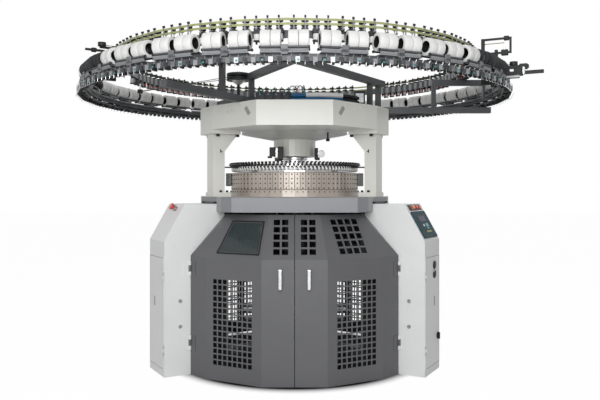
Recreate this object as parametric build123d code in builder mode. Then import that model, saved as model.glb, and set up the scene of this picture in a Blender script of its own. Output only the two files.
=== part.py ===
"""Circular knitting machine: a three-legged cabinet with guard doors, a cam ring and needle
cylinder on the bed plate, a crown on three columns, and two feeder rings carried above it.

Millimetres. The origin is on the floor, on the axis that the needle cylinder turns about.
+Z is up and the front doors face -Y.
"""

import os
from math import atan2, cos, degrees, hypot, radians, sin, tan

from build123d import *

# Layout: three legs stand at these directions, and a guard sector lies between each two
leg_direction = {"left": 210, "right": 330, "rear": 90}
front_direction = 270
rear_sector_direction = {"left": 150, "right": 30}
floor_clearance = 15
half_sector = 60
sheet = 3
seat_gap = 0.3
cut_overrun = 20

# Bed plate and its down-turned rim
bed_top = 1122
bed_plate_thickness = 32
bed_rim_height = 93
bed_rim_wall = 14
bed_front_reach = 690
bed_front_half_width = 380
bed_shoulder_reach = 600
bed_shoulder_half_width = 454
bed_rear_half_width = 180
bed_lobe_reach = 652
bed_lobe_half_width = 120
bed_chamfer = 4
bed_relief_depth = 250
bed_relief_gap = 6

# Legs and their sheet-metal covers
leg_inner_reach = 545
leg_outer_reach = 650
leg_half_width = 78
leg_wall = 14
foot_radius = 38
foot_sides = 12
foot_height = 12
cover_reach = 1002
cover_inner_reach = 602
cover_half_width = 140
cover_knee_height = 849
cover_top_reach = 871
cover_top_height = 1076
cover_door_bottom = 60
cover_door_top = 750
cover_door_margin = 9
cover_opening_lap = 12
cover_leg_gap = 8
leg_shelf_heights = (100, 860)
leg_shelf_reach = 700
leg_shelf_thickness = 12

# Guard doors: a folded sheet of three facets with a sloping top
door_front_reach = 822
door_front_half_width = 193
door_fold_reach = 647
door_fold_offset = 535
door_hinge_reach = 832
door_side_gap = 3
guard_side_gap = 1.2
door_seam_gap = 4
door_return = 20
door_crease_height = 757
door_top_height = 1014
door_slope_inset = 164
door_top_hinge_reach = 592
door_top_fold_offset = 413
door_top_fold_reach = 525.5

# Square perforations of the guards
grille_hole = 26.5
grille_pitch = 35
grille_columns = 8
grille_rows = 15
grille_centre_height = 368
slope_hole = 38
slope_pitch = 50
slope_rows = 5
slope_columns = {"centre": 2, "diagonal": 4}
slope_centre_offset = -16
grille_offset = 9.5
rear_window_width = 126
rear_window_height = 160
rear_window_pitch = (137, 171)
rear_window_columns = 2
rear_window_rows = 3
window_margins = (40, 66, 58, 34)
window_lap = 8
window_pane = 4

# Hinges, handles and locks of the doors
hinge_heights = (215, 677)
hinge_height = 90
hinge_knuckle = 25
hinge_barrel_radius = 8
hinge_pin_radius = 3
shaft_sides = 12
hinge_leaf_width = 36
hinge_leaf_start = 8.6
hinge_leaf_overlap = 2
hinge_axis_reach = 839
hinge_axis_lift = 9
pin_clearance = 0.05
barrel_sides = 8
cabinet_hinge_heights = (180, 630)
cabinet_hinge_height = 60
cabinet_hinge_lift = 6
cabinet_hinge_inset = 4
cabinet_barrel_radius = 5
cabinet_pin_radius = 2.4
cabinet_lug_lap = 8
cabinet_lug_setback = 2.5
cabinet_leaf_width = 7
cabinet_leaf_thickness = 2
lock_slot_inset = 14
lock_slot_width = 9
lock_slot_height = 70
handle_offset = 84
handle_bottom = 584
handle_top = 705
handle_width = 16
handle_reach = 34
handle_bar = 12

# Knitting head
cylinder_radius = 381
cylinder_wall = 30
cylinder_top = 1296
cylinder_sides = 36
cylinder_gear_radius = 436
cylinder_gear_height = 44
running_clearance = 0.3
cam_count = 78
cam_base_radius = 452
cam_base_height = 43
cam_ring_radius = 440
cam_ring_height = 117
cam_ring_bore = 392
cam_bore_sides = 24
cam_section_gap = 1
cam_block_reach = 478
cam_block_half_width = 45
cam_block_height = 90
dial_radius = 372
dial_thickness = 14
dial_bottom = 1300
dial_shaft_radius = 36
dial_sleeve_radius = 80
dial_cam_radius = 350
dial_cam_thickness = 16
dial_cam_bottom = 1322

# Yarn guide ring over the cam ring
guide_ring_inner_radius = 420
guide_ring_radius = 442
guide_ring_bottom = 1312
guide_ring_thickness = 8
guide_count = 42
guide_width = 12
guide_height = 17
guide_depth = 14
guide_bracket_width = 30
guide_bracket_overlap = 8
guide_setback = 2

# Columns and crown
column_reach = 600
column_depth = 82
column_width = 100
column_gusset_reach = 92
column_gusset_height = 112
column_gusset_overlap = 10
column_top = 1530
column_base_inner = 520
column_base_outer = 645
column_base_half_width = 65
column_flange = 28
crown_bottom = 1555
crown_top = 1707
crown_rear_bottom = 1640
crown_front_reach = 718
crown_front_half_width = 230
crown_rear_reach = 640
crown_rear_half_width = 220
crown_ear_reach = 668
crown_ear_half_width = 100
crown_wall = 16
crown_foot_inner = 467
crown_cone_radius = 372
crown_cone_bottom = 1512
crown_recess_length = 150
crown_recess_height = 38
crown_recess_slant = 26
crown_recess_depth = 8
crown_recess_top = 1650
crown_chamfer = 3
hub_radius = 147
hub_bottom = 1397
hub_sides = 24

# Feeder ring carriers on top of the crown
arm_direction = {"left": 240, "right": 0, "rear": 120}
arm_post_reach = {"left": 860, "right": 980, "rear": 920}
arm_inner_reach = 330
arm_outer_reach = 1380
arm_size = 40
post_size = 30
upper_arm_bottom = 1900
hanger_outer_reach = 1340
hanger_width = 15
rail_seat_reach = 1412
rail_seat_thickness = 12
beam_apex_reach = 1070
beam_size = 40
beam_top = 1900
beam_right_end = (597, -184)
beam_left_end = (-280, -490)
beam_right_posts = (69, 188)
beam_left_posts = (20,)

# Rings are built from straight lengths, one between each two unwinding devices
ring_lengths = 30
first_device_direction = 268
length_angle = 360 / ring_lengths
bare_lengths = (58, -62, -122, 178)

# Outer ring: rail, unwinders and elastane spools
outer_rail_reach = 1400
outer_rail_width = 24
outer_rail_height = 25
outer_rail_bottom = 1815
spool_radius = 48
spool_height = 1912
spool_pair_width = 103.5
spool_sides = 10
spool_pair_offset = 70
roller_radius = 6
roller_sides = 6
roller_length = 252
housing_half_width = 18
housing_half_depth = 46
housing_lip = 6
housing_lip_bottom = 1829
housing_lip_top = 1879
strip_reach = 1447
strip_thickness = 4
strip_height = 26
strip_bottom = 1796
strip_arm_height = 7
strip_arm_width = 20
lengths_per_strip_arm = 3

# Inner ring: rail, storage feeders and their two belts
inner_rail_reach = 1150
inner_rail_width = 12
inner_rail_height = 40
inner_rail_bottom = 1975
feeders_per_length = 4
feeder_pitch = 60
feeder_half_width = 21
feeder_depth = 70
feeder_bottom = 1944
feeder_top = 2064
belt_thickness = 2
belt_height = 12
belt_bottoms = (2026, 2050)

# Belt tension stations, each on one straight length of the outer ring
tension_direction = {"left": 214, "right": 334}
tension_post_reach = 1300
tension_post_size = 20
tension_post_top = {"left": 2020, "right": 2099}
tension_bars = {
    "left": [(1470, 1987, 12), (1385, 2008, 12)],
    "right": [(1470, 2093, 12), (1470, 2006, 12), (1570, 1912, 20), (1655, 1875, 20)],
}
tension_link = (1470, 12)
tension_pin_bar = {"left": 1, "right": 2}
tension_pulley_reach = {"left": 1372, "right": 1482}
tension_pulley_radius = 24
tension_pulley_height = 22
tension_pin_radius = 5

# Quality wheel, which feeds the belts
quality_wheel_place = (-358, -448)
quality_wheel_radius = 76
quality_wheel_sides = 24
quality_wheel_bottom = 1862
quality_wheel_thickness = 44
quality_wheel_groove = 6
quality_shaft_radius = 9
quality_block = 44
quality_web_inset = 16
quality_shaft_lift = 10

# Hoses on the crown, from a valve block at the front to a junction box on the right
valve_block = (220, 60, 60)
valve_block_place = (-130, -570)
junction_box = (70, 110, 90)
junction_box_place = (415, -395)
hose_radius = 14
hose_sides = 6
hose_route = [(-50, -575), (150, -600), (330, -540), (415, -400)]
hose_bend_radius = 70

# Take-down unit in the cabinet
base_boss_radius = 110
base_arm_width = 90
base_arm_bottom = 70
base_arm_height = 50
base_arm_overlap = 20
takedown_plate_reach = 360
takedown_plate_width = 190
takedown_plate_thickness = 22
takedown_bottom = 210
takedown_beam_height = 50
takedown_beam_width = 100
takedown_pivot_radius = 20
takedown_roller_radius = 32
takedown_roller_height = 640
takedown_roller_gap = 0.6
takedown_journal_radius = 12
takedown_end_gap = 0.3
batch_roller_radius = 34
batch_roller_height = 330
roller_sides_long = 16

# Drive in front of the rear leg
drive_reach = 476
drive_motor_radius = 60
drive_motor_height = 220
drive_motor_sides = 16
drive_shaft_radius = 14
drive_tip_radius = 10
drive_pinion_radius = 39.5
drive_socket = 20

# Panels and buttons
panel_half_width = 122
panel_low = 18
panel_high = 205
panel_thickness = 8
panel_corner = 10
screen_width = 170
screen_height = 110
screen_offset = 14
screen_recess = 2
screen_thickness = 3
button_row = 232
button_spacing = 52
button_radius = 14
button_sides = 12
button_height = 14
button_travel = 4
bezel_radius = 18
bezel_height = 8
stop_head_radius = 21
stop_head_height = 12
switch_offset = 96
switch_height = 232
switch_radius = 22
switch_bar = 40
switch_bar_width = 12
switch_stud_radius = 7
lock_radius = 12
lock_height = 4
lock_heights = (318, 476)
lock_reach = 900


def polar(direction, radial, lateral=0.0):
    """The plan point at a distance along a direction, and at a distance square to it."""
    a = radians(direction)
    return (
        radial * cos(a) - lateral * sin(a),
        radial * sin(a) + lateral * cos(a),
    )


def upright_plane(direction, lateral=0.0):
    """A plane whose x runs outwards along a direction and whose y is up."""
    a = radians(direction)
    x, y = polar(direction, 0, lateral)
    return Plane(origin=(x, y, 0), x_dir=(cos(a), sin(a), 0), z_dir=(sin(a), -cos(a), 0))


def level_plane(direction, height):
    """A level plane at a height whose x runs outwards along a direction."""
    a = radians(direction)
    return Plane(origin=(0, 0, height), x_dir=(cos(a), sin(a), 0), z_dir=(0, 0, 1))


def facing_plane(direction, reach, height):
    """A plane that faces outwards along a direction, with its y up."""
    a = radians(direction)
    x, y = polar(direction, reach)
    return Plane(origin=(x, y, height), x_dir=(-sin(a), cos(a), 0), z_dir=(cos(a), sin(a), 0))


def facet_plane(low_start, low_end, high_point):
    """The plane of a flat facet through two low corners and a higher point, facing outwards,
    with its y up the facet."""
    along = (Vector(*low_end) - Vector(*low_start)).normalized()
    up = Vector(*high_point) - Vector(*low_start)
    normal = along.cross(up).normalized()
    centre = (Vector(*low_start) + Vector(*low_end)) * 0.5
    if normal.dot(Vector(centre.X, centre.Y, 0)) < 0:
        normal = normal * -1
    if normal.cross(along).Z < 0:
        along = along * -1
    return Plane(origin=centre, x_dir=along, z_dir=normal)


def meeting_point(line_a, line_b):
    """Where two lines meet, each given by a point and a direction."""
    ax, ay, adx, ady = line_a
    bx, by, bdx, bdy = line_b
    t = ((bx - ax) * bdy - (by - ay) * bdx) / (adx * bdy - ady * bdx)
    return (ax + t * adx, ay + t * ady)


def inset_chain(points, distance):
    """An open chain of points moved towards the machine's axis by a distance."""
    lines = []
    for (x0, y0), (x1, y1) in zip(points, points[1:]):
        length = hypot(x1 - x0, y1 - y0)
        nx, ny = (y1 - y0) / length, -(x1 - x0) / length
        if nx * x0 + ny * y0 > 0:
            nx, ny = -nx, -ny
        lines.append((x0 + nx * distance, y0 + ny * distance, x1 - x0, y1 - y0))
    ax, ay, adx, ady = lines[-1]
    corners = [meeting_point(before, after) for before, after in zip(lines, lines[1:])]
    return [lines[0][:2], *corners, (ax + adx, ay + ady)]


def inset_polygon(points, margins):
    """A closed outline with each side moved inwards by a margin of its own."""
    following = points[1:] + points[:1]
    area = sum(x0 * y1 - x1 * y0 for (x0, y0), (x1, y1) in zip(points, following))
    sense = 1 if area > 0 else -1
    sides = []
    for (x0, y0), (x1, y1), margin in zip(points, following, margins):
        length = hypot(x1 - x0, y1 - y0)
        nx, ny = -sense * (y1 - y0) / length, sense * (x1 - x0) / length
        sides.append((x0 + nx * margin, y0 + ny * margin, x1 - x0, y1 - y0))
    return [meeting_point(before, after) for before, after in zip(sides[-1:] + sides[:-1], sides)]


def keep(piece, label):
    """Labels a finished piece and writes its STEP file."""
    piece.label = label
    export_step(piece, f"parts/{label}.step")


os.makedirs("parts", exist_ok=True)

# Plan outlines, counter-clockwise, shared by the bed plate and the crown


def plan_outline(ear_reach, ear_half_width, front_side, rear_side):
    """A plan outline with an ear over each leg and a row of points, from the middle outwards,
    for half of the front sector and for half of each rear sector."""
    points = []
    for leg in leg_direction.values():
        sector = leg + half_sector
        half_side = front_side if sector == front_direction else rear_side
        points.append(polar(leg, ear_reach, -ear_half_width))
        points.append(polar(leg, ear_reach, ear_half_width))
        points += [polar(sector, reach, -lateral) for reach, lateral in reversed(half_side)]
        points += [polar(sector, reach, lateral) for reach, lateral in half_side]
    return points


# Bed plate: a plate with a rim turned down all round, cut away where the legs and covers come up
bed_outline = plan_outline(
    bed_lobe_reach,
    bed_lobe_half_width,
    [(bed_front_reach, bed_front_half_width), (bed_shoulder_reach, bed_shoulder_half_width)],
    [(bed_front_reach, bed_rear_half_width)],
)
bed_plate_bottom = bed_top - bed_plate_thickness
with BuildPart() as bed_plate:
    with BuildSketch(Plane.XY.offset(bed_top - bed_rim_height)):
        Polygon(*bed_outline, align=None)
    extrude(amount=bed_rim_height)
    with BuildSketch(Plane.XY.offset(bed_top - bed_rim_height)):
        Polygon(*inset_polygon(bed_outline, [bed_rim_wall] * len(bed_outline)), align=None)
    extrude(amount=bed_rim_height - bed_plate_thickness, mode=Mode.SUBTRACT)
    for leg in leg_direction.values():
        with BuildSketch(level_plane(leg, bed_top - bed_rim_height)):
            with Locations((bed_lobe_reach, 0)):
                Rectangle(2 * bed_relief_depth, 2 * (cover_half_width + bed_relief_gap))
        extrude(amount=bed_rim_height - bed_plate_thickness, mode=Mode.SUBTRACT)
    with BuildSketch(Plane.XY.offset(bed_plate_bottom)):
        RegularPolygon(cylinder_radius + running_clearance, cylinder_sides, major_radius=False)
    extrude(amount=bed_plate_thickness, mode=Mode.SUBTRACT)
    with BuildSketch(Plane.XY.offset(bed_plate_bottom)):
        with Locations(polar(leg_direction["rear"], drive_reach)):
            RegularPolygon(drive_tip_radius + pin_clearance, shaft_sides, major_radius=False)
    extrude(amount=drive_socket, mode=Mode.SUBTRACT)
    top_edges = bed_plate.edges().group_by(Axis.Z)[-1].filter_by(GeomType.LINE)
    chamfer(top_edges, bed_chamfer)
keep(bed_plate.part, "bed_plate")

# Legs: hollow cast boxes with a foot pad, one under each lobe of the bed plate
with BuildPart() as legs:
    for direction in leg_direction.values():
        leg_middle = (leg_inner_reach + leg_outer_reach) / 2
        leg_depth = leg_outer_reach - leg_inner_reach
        with BuildSketch(level_plane(direction, foot_height)):
            with Locations((leg_middle, 0)):
                Rectangle(leg_depth, 2 * leg_half_width)
        extrude(amount=bed_plate_bottom - foot_height)
        with BuildSketch(level_plane(direction, foot_height + leg_wall)):
            with Locations((leg_middle, 0)):
                Rectangle(leg_depth - 2 * leg_wall, 2 * (leg_half_width - leg_wall))
        extrude(amount=bed_plate_bottom - foot_height - 2 * leg_wall, mode=Mode.SUBTRACT)
        for height in leg_shelf_heights:
            with BuildSketch(level_plane(direction, height)):
                with Locations(((leg_outer_reach - leg_wall + leg_shelf_reach) / 2, 0)):
                    Rectangle(
                        leg_shelf_reach - leg_outer_reach + leg_wall,
                        2 * (cover_half_width - sheet),
                    )
            extrude(amount=leg_shelf_thickness)
        with BuildSketch(level_plane(direction, 0)):
            with Locations((leg_middle, 0)):
                RegularPolygon(foot_radius, foot_sides)
        extrude(amount=foot_height)
keep(legs.part, "legs")

# Leg covers: a sheet cabinet round each leg with a sloping head, open inwards and below
cover_profile = [
    (cover_inner_reach, floor_clearance),
    (cover_reach, floor_clearance),
    (cover_reach, cover_knee_height),
    (cover_top_reach, cover_top_height),
    (cover_inner_reach, cover_top_height),
]
cover_slope_angle = degrees(
    atan2(cover_reach - cover_top_reach, cover_top_height - cover_knee_height)
)
for name, direction in leg_direction.items():
    with BuildPart() as cover:
        with BuildSketch(upright_plane(direction)):
            Polygon(*cover_profile, align=None)
        extrude(amount=cover_half_width, both=True)
        outer_corner = sheet * tan(radians(cover_slope_angle / 2))
        top_corner = sheet * tan(radians(45 - cover_slope_angle / 2))
        with BuildSketch(upright_plane(direction)):
            Polygon(
                (cover_inner_reach - cut_overrun, floor_clearance - cut_overrun),
                (cover_reach - sheet, floor_clearance - cut_overrun),
                (cover_reach - sheet, cover_knee_height - outer_corner),
                (cover_top_reach - top_corner, cover_top_height - sheet),
                (cover_inner_reach - cut_overrun, cover_top_height - sheet),
                align=None,
            )
        extrude(amount=cover_half_width - sheet, both=True, mode=Mode.SUBTRACT)
        with BuildSketch(level_plane(direction, cover_top_height - sheet)):
            with Locations(((cover_inner_reach + leg_outer_reach) / 2, 0)):
                Rectangle(
                    leg_outer_reach - cover_inner_reach + 2 * cover_leg_gap,
                    2 * (leg_half_width + cover_leg_gap),
                )
        extrude(amount=sheet, mode=Mode.SUBTRACT)
        door_centre = (cover_door_bottom + cover_door_top) / 2
        if name != "rear":
            with BuildSketch(facing_plane(direction, cover_reach, door_centre)):
                Rectangle(
                    2 * (cover_half_width - cover_door_margin - cover_opening_lap),
                    cover_door_top - cover_door_bottom - 2 * cover_opening_lap,
                )
            extrude(amount=-sheet, mode=Mode.SUBTRACT)
    keep(cover.part, f"cover_{name}")

# Cabinet doors on the end faces of the two front covers, each with two hinge knuckles
cabinet_axis_reach = cover_reach + cabinet_hinge_lift
cabinet_axis_offset = cover_half_width - cabinet_hinge_inset
cabinet_door_half_width = cover_half_width - cover_door_margin
switch_face = facing_plane(
    leg_direction["right"], cover_reach + seat_gap + sheet, switch_height
)
for name, side in (("left", -1), ("right", 1)):
    direction = leg_direction[name]
    axis = polar(direction, cabinet_axis_reach, -side * cabinet_axis_offset)
    with BuildPart() as cabinet_door:
        face = facing_plane(direction, cover_reach + seat_gap, cover_door_bottom)
        height = cover_door_top - cover_door_bottom
        with BuildSketch(face):
            with Locations((0, height / 2)):
                Rectangle(2 * cabinet_door_half_width, height)
        extrude(amount=sheet)
        with BuildSketch(face.offset(sheet)):
            with Locations((side * (cabinet_door_half_width - lock_slot_inset), height / 2)):
                Rectangle(lock_slot_width, lock_slot_height)
        extrude(amount=-sheet, mode=Mode.SUBTRACT)
        if name == "right":
            with BuildSketch(switch_face):
                with Locations((switch_offset, 0)):
                    RegularPolygon(switch_stud_radius, shaft_sides)
            extrude(amount=seat_gap + sheet)
        for middle in cabinet_hinge_heights:
            third = cabinet_hinge_height / 3
            with BuildSketch(Plane.XY.offset(middle - third / 2 + pin_clearance)):
                with Locations(axis):
                    RegularPolygon(cabinet_barrel_radius, barrel_sides)
            extrude(amount=third - 2 * pin_clearance)
            with BuildSketch(level_plane(direction, middle - third / 2 + pin_clearance)):
                lug_inner = cabinet_door_half_width - cabinet_lug_lap
                lug_middle = -side * (lug_inner + cabinet_axis_offset) / 2
                with Locations((cabinet_axis_reach - cabinet_lug_setback, lug_middle)):
                    Rectangle(sheet, cabinet_axis_offset - lug_inner)
            extrude(amount=third - 2 * pin_clearance)
            with BuildSketch(Plane.XY.offset(middle - third / 2)):
                with Locations(axis):
                    RegularPolygon(cabinet_pin_radius + pin_clearance, shaft_sides, major_radius=False)
            extrude(amount=third, mode=Mode.SUBTRACT)
    keep(cabinet_door.part, f"cabinet_door_{name}")

with BuildPart() as cabinet_hinges:
    for side, direction in ((-1, leg_direction["left"]), (1, leg_direction["right"])):
        axis = polar(direction, cabinet_axis_reach, -side * cabinet_axis_offset)
        for middle in cabinet_hinge_heights:
            third = cabinet_hinge_height / 3
            for start in (middle - third * 1.5, middle + third / 2):
                with BuildSketch(Plane.XY.offset(start)):
                    with Locations(axis):
                        RegularPolygon(cabinet_barrel_radius, barrel_sides)
                extrude(amount=third)
                with BuildSketch(level_plane(direction, start)):
                    leaf_middle = -side * (cover_half_width - cabinet_leaf_width / 2)
                    with Locations((cover_reach + cabinet_leaf_thickness / 2, leaf_middle)):
                        Rectangle(cabinet_leaf_thickness, cabinet_leaf_width)
                extrude(amount=third)
            with BuildSketch(Plane.XY.offset(middle - third * 1.5)):
                with Locations(axis):
                    RegularPolygon(cabinet_pin_radius, shaft_sides)
            extrude(amount=cabinet_hinge_height)
keep(cabinet_hinges.part, "cabinet_hinges")


# Guard sectors: corner points of a half sector, from its middle out to the leg cover
def sector_corners(direction, side, middle_gap, side_gap):
    """Low and high plan corners of one half of a guard sector."""
    leg = direction + half_sector * side
    beside_cover = -side * (cover_half_width + side_gap)
    low = [
        polar(direction, door_front_reach, side * middle_gap),
        polar(direction, door_front_reach, side * door_front_half_width),
        polar(direction, door_fold_reach, side * door_fold_offset),
        polar(leg, door_hinge_reach, beside_cover),
    ]
    slope_share = (door_front_reach - door_slope_inset) / door_front_reach
    fold_middle = door_front_half_width * slope_share
    high = [
        polar(direction, door_front_reach - door_slope_inset, side * middle_gap),
        polar(direction, door_front_reach - door_slope_inset, side * fold_middle),
        polar(direction, door_top_fold_reach, side * door_top_fold_offset),
        polar(leg, door_top_hinge_reach, beside_cover),
    ]
    return low, high


def lift(points, height):
    """Plan points set at a height."""
    return [(x, y, height) for x, y in points]


def sector_facets(direction, side, middle_gap, side_gap):
    """The flat facets of half a guard sector, each by its name and its corners."""
    low, high = sector_corners(direction, side, middle_gap, side_gap)
    floor = lift(low, floor_clearance)
    crease = lift(low, door_crease_height)
    top = lift(high, door_top_height)
    return {
        "centre": [floor[0], floor[1], crease[1], crease[0]],
        "diagonal": [floor[1], floor[2], crease[2], crease[1]],
        "flange": [floor[2], floor[3], crease[3], crease[2]],
        "centre_slope": [crease[0], crease[1], top[1], top[0]],
        "diagonal_slope": [crease[1], crease[2], top[2], top[1]],
        "flange_slope_low": [crease[2], crease[3], top[2]],
        "flange_slope_high": [crease[3], top[3], top[2]],
    }


def flat_corners(plane, corners):
    """Corners of a facet in the facet plane's own two directions."""
    local = [plane.to_local_coords(Vector(*corner)) for corner in corners]
    return [(point.X, point.Y) for point in local]


# Front doors: one to each side, with square perforations, and a window in the left one
for name, side in (("left", -1), ("right", 1)):
    facets = sector_facets(front_direction, side, door_seam_gap / 2, door_side_gap)
    with BuildPart() as door:
        for corners in facets.values():
            plane = facet_plane(*corners[:3])
            with BuildSketch(plane):
                Polygon(*flat_corners(plane, corners), align=None)
            extrude(amount=-sheet)
        seam = [
            (door_front_reach, floor_clearance),
            (door_front_reach, door_crease_height),
            (door_front_reach - door_slope_inset, door_top_height),
        ]
        with BuildSketch(upright_plane(front_direction, side * door_seam_gap / 2)):
            Polygon(*seam, *reversed(inset_chain(seam, door_return)), align=None)
        extrude(amount=-side * sheet)
        plane = facet_plane(*facets["diagonal"][:3])
        with BuildSketch(plane):
            with Locations((side * grille_offset, grille_centre_height - floor_clearance)):
                with GridLocations(grille_pitch, grille_pitch, grille_columns, grille_rows):
                    Rectangle(grille_hole, grille_hole)
        extrude(amount=2 * sheet, both=True, mode=Mode.SUBTRACT)
        slope_middle = hypot(door_slope_inset, door_top_height - door_crease_height) / 2
        plane = facet_plane(*facets["centre_slope"][:3])
        with BuildSketch(plane):
            with Locations((side * slope_centre_offset, slope_middle)):
                with GridLocations(slope_pitch, slope_pitch, slope_columns["centre"], slope_rows):
                    Rectangle(slope_hole, slope_hole)
        extrude(amount=2 * sheet, both=True, mode=Mode.SUBTRACT)
        plane = facet_plane(*facets["diagonal_slope"][:3])
        with BuildSketch(plane):
            if name == "right":
                with Locations((0, slope_middle)):
                    with GridLocations(
                        slope_pitch, slope_pitch, slope_columns["diagonal"], slope_rows
                    ):
                        Rectangle(slope_hole, slope_hole)
            else:
                window = inset_polygon(
                    flat_corners(plane, facets["diagonal_slope"]), window_margins
                )
                Polygon(*window, align=None)
        extrude(amount=2 * sheet, both=True, mode=Mode.SUBTRACT)
    keep(door.part, f"door_{name}")
    if name == "left":
        with BuildPart() as door_window:
            with BuildSketch(plane.offset(-sheet)):
                Polygon(*inset_polygon(window, [-window_lap] * 4), align=None)
            extrude(amount=-window_pane)
        keep(door_window.part, "door_window")

# Rear guards: fixed between the leg covers, with large windows
with BuildPart() as rear_guards:
    for direction in rear_sector_direction.values():
        for side in (-1, 1):
            facets = sector_facets(direction, side, 0, guard_side_gap)
            for corners in facets.values():
                plane = facet_plane(*corners[:3])
                with BuildSketch(plane):
                    Polygon(*flat_corners(plane, corners), align=None)
                extrude(amount=-sheet)
            plane = facet_plane(*facets["diagonal"][:3])
            with BuildSketch(plane):
                with Locations((0, grille_centre_height - floor_clearance)):
                    with GridLocations(
                        *rear_window_pitch, rear_window_columns, rear_window_rows
                    ):
                        Rectangle(rear_window_width, rear_window_height)
            extrude(amount=2 * sheet, both=True, mode=Mode.SUBTRACT)
keep(rear_guards.part, "rear_guards")

# Door hinges and handles: each hinge leaf has one knuckle, between the bracket's two
for name, side in (("left", -1), ("right", 1)):
    leg = leg_direction[name]
    hinge_axis = polar(leg, hinge_axis_reach, -side * (cover_half_width + hinge_axis_lift))
    low, _ = sector_corners(front_direction, side, door_seam_gap / 2, door_side_gap)
    flange_end = Vector(*low[3])
    flange_along = (Vector(*low[2]) - flange_end).normalized()
    flange_out = Vector(-flange_along.Y, flange_along.X) * side
    foot = flange_end + flange_along * (Vector(*hinge_axis) - flange_end).dot(flange_along)
    with BuildPart() as hinge_leaf:
        for middle in hinge_heights:
            knuckle_bottom = middle - hinge_height / 2 + hinge_knuckle + seat_gap
            knuckle_height = hinge_height - 2 * hinge_knuckle - 2 * seat_gap
            leaf_end = hinge_leaf_start + hinge_leaf_width
            for start, end, bottom, tall in (
                (hinge_leaf_start, leaf_end, middle - hinge_height / 2, hinge_height),
                (0, hinge_leaf_start + hinge_leaf_overlap, knuckle_bottom, knuckle_height),
            ):
                with BuildSketch(Plane.XY.offset(bottom)):
                    near, far = foot + flange_along * start, foot + flange_along * end
                    outside = flange_out * sheet
                    Polygon(
                        *[(p.X, p.Y) for p in (near, far, far + outside, near + outside)],
                        align=None,
                    )
                extrude(amount=tall)
            with BuildSketch(Plane.XY.offset(knuckle_bottom)):
                with Locations(hinge_axis):
                    RegularPolygon(hinge_barrel_radius, barrel_sides)
            extrude(amount=knuckle_height)
            with BuildSketch(Plane.XY.offset(knuckle_bottom)):
                with Locations(hinge_axis):
                    RegularPolygon(hinge_pin_radius + pin_clearance, shaft_sides, major_radius=False)
            extrude(amount=knuckle_height, mode=Mode.SUBTRACT)
    keep(hinge_leaf.part, f"hinge_leaf_{name}")
    with BuildPart() as door_handle:
        handle_profile = [
            (door_front_reach, handle_bottom),
            (door_front_reach + handle_reach, handle_bottom),
            (door_front_reach + handle_reach, handle_top),
            (door_front_reach, handle_top),
            (door_front_reach, handle_top - handle_bar),
            (door_front_reach + handle_reach - handle_bar, handle_top - handle_bar),
            (door_front_reach + handle_reach - handle_bar, handle_bottom + handle_bar),
            (door_front_reach, handle_bottom + handle_bar),
        ]
        with BuildSketch(upright_plane(front_direction, side * handle_offset)):
            Polygon(*handle_profile, align=None)
        extrude(amount=handle_width / 2, both=True)
        outer_edges = door_handle.edges().group_by(Axis.Y)[0].filter_by(Axis.X)
        fillet(outer_edges, handle_bar / 2)
    keep(door_handle.part, f"door_handle_{name}")

# Hinge brackets on the leg covers, each a leaf with two knuckles and the pin
with BuildPart() as door_hinge_brackets:
    for side, leg in ((-1, leg_direction["left"]), (1, leg_direction["right"])):
        hinge_axis = polar(leg, hinge_axis_reach, -side * (cover_half_width + hinge_axis_lift))
        for middle in hinge_heights:
            bottom = middle - hinge_height / 2
            leaf_plane = level_plane(leg, bottom)
            with BuildSketch(leaf_plane):
                with Locations(
                    (
                        hinge_axis_reach + hinge_leaf_start + hinge_leaf_width / 2,
                        -side * (cover_half_width + sheet / 2),
                    )
                ):
                    Rectangle(hinge_leaf_width, sheet)
            extrude(amount=hinge_height)
            for start in (bottom, bottom + hinge_height - hinge_knuckle):
                with BuildSketch(level_plane(leg, start)):
                    with Locations(
                        (
                            hinge_axis_reach + (hinge_leaf_start + hinge_leaf_overlap) / 2,
                            -side * (cover_half_width + sheet / 2),
                        )
                    ):
                        Rectangle(hinge_leaf_start + hinge_leaf_overlap, sheet)
                extrude(amount=hinge_knuckle)
                with BuildSketch(Plane.XY.offset(start)):
                    with Locations(hinge_axis):
                        RegularPolygon(hinge_barrel_radius, barrel_sides)
                extrude(amount=hinge_knuckle)
            with BuildSketch(Plane.XY.offset(bottom)):
                with Locations(hinge_axis):
                    RegularPolygon(hinge_pin_radius, shaft_sides)
            extrude(amount=hinge_height)
keep(door_hinge_brackets.part, "door_hinge_brackets")

# Columns: a square post with a bolted base flange and a gusset towards the axis at its top
with BuildPart() as columns:
    for direction in leg_direction.values():
        with BuildSketch(level_plane(direction, bed_top)):
            with Locations((column_reach, 0)):
                Rectangle(column_depth, column_width)
        extrude(amount=column_top - bed_top)
        with BuildSketch(level_plane(direction, bed_top)):
            with Locations(((column_base_inner + column_base_outer) / 2, 0)):
                Rectangle(column_base_outer - column_base_inner, 2 * column_base_half_width)
        extrude(amount=column_flange)
        inner_face = column_reach - column_depth / 2
        with BuildSketch(upright_plane(direction)):
            Polygon(
                (inner_face + column_gusset_overlap, column_top),
                (inner_face - column_gusset_reach, column_top),
                (inner_face, column_top - column_gusset_height),
                (inner_face + column_gusset_overlap, column_top - column_gusset_height),
                align=None,
            )
        extrude(amount=column_width / 2, both=True)
keep(columns.part, "columns")

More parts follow.
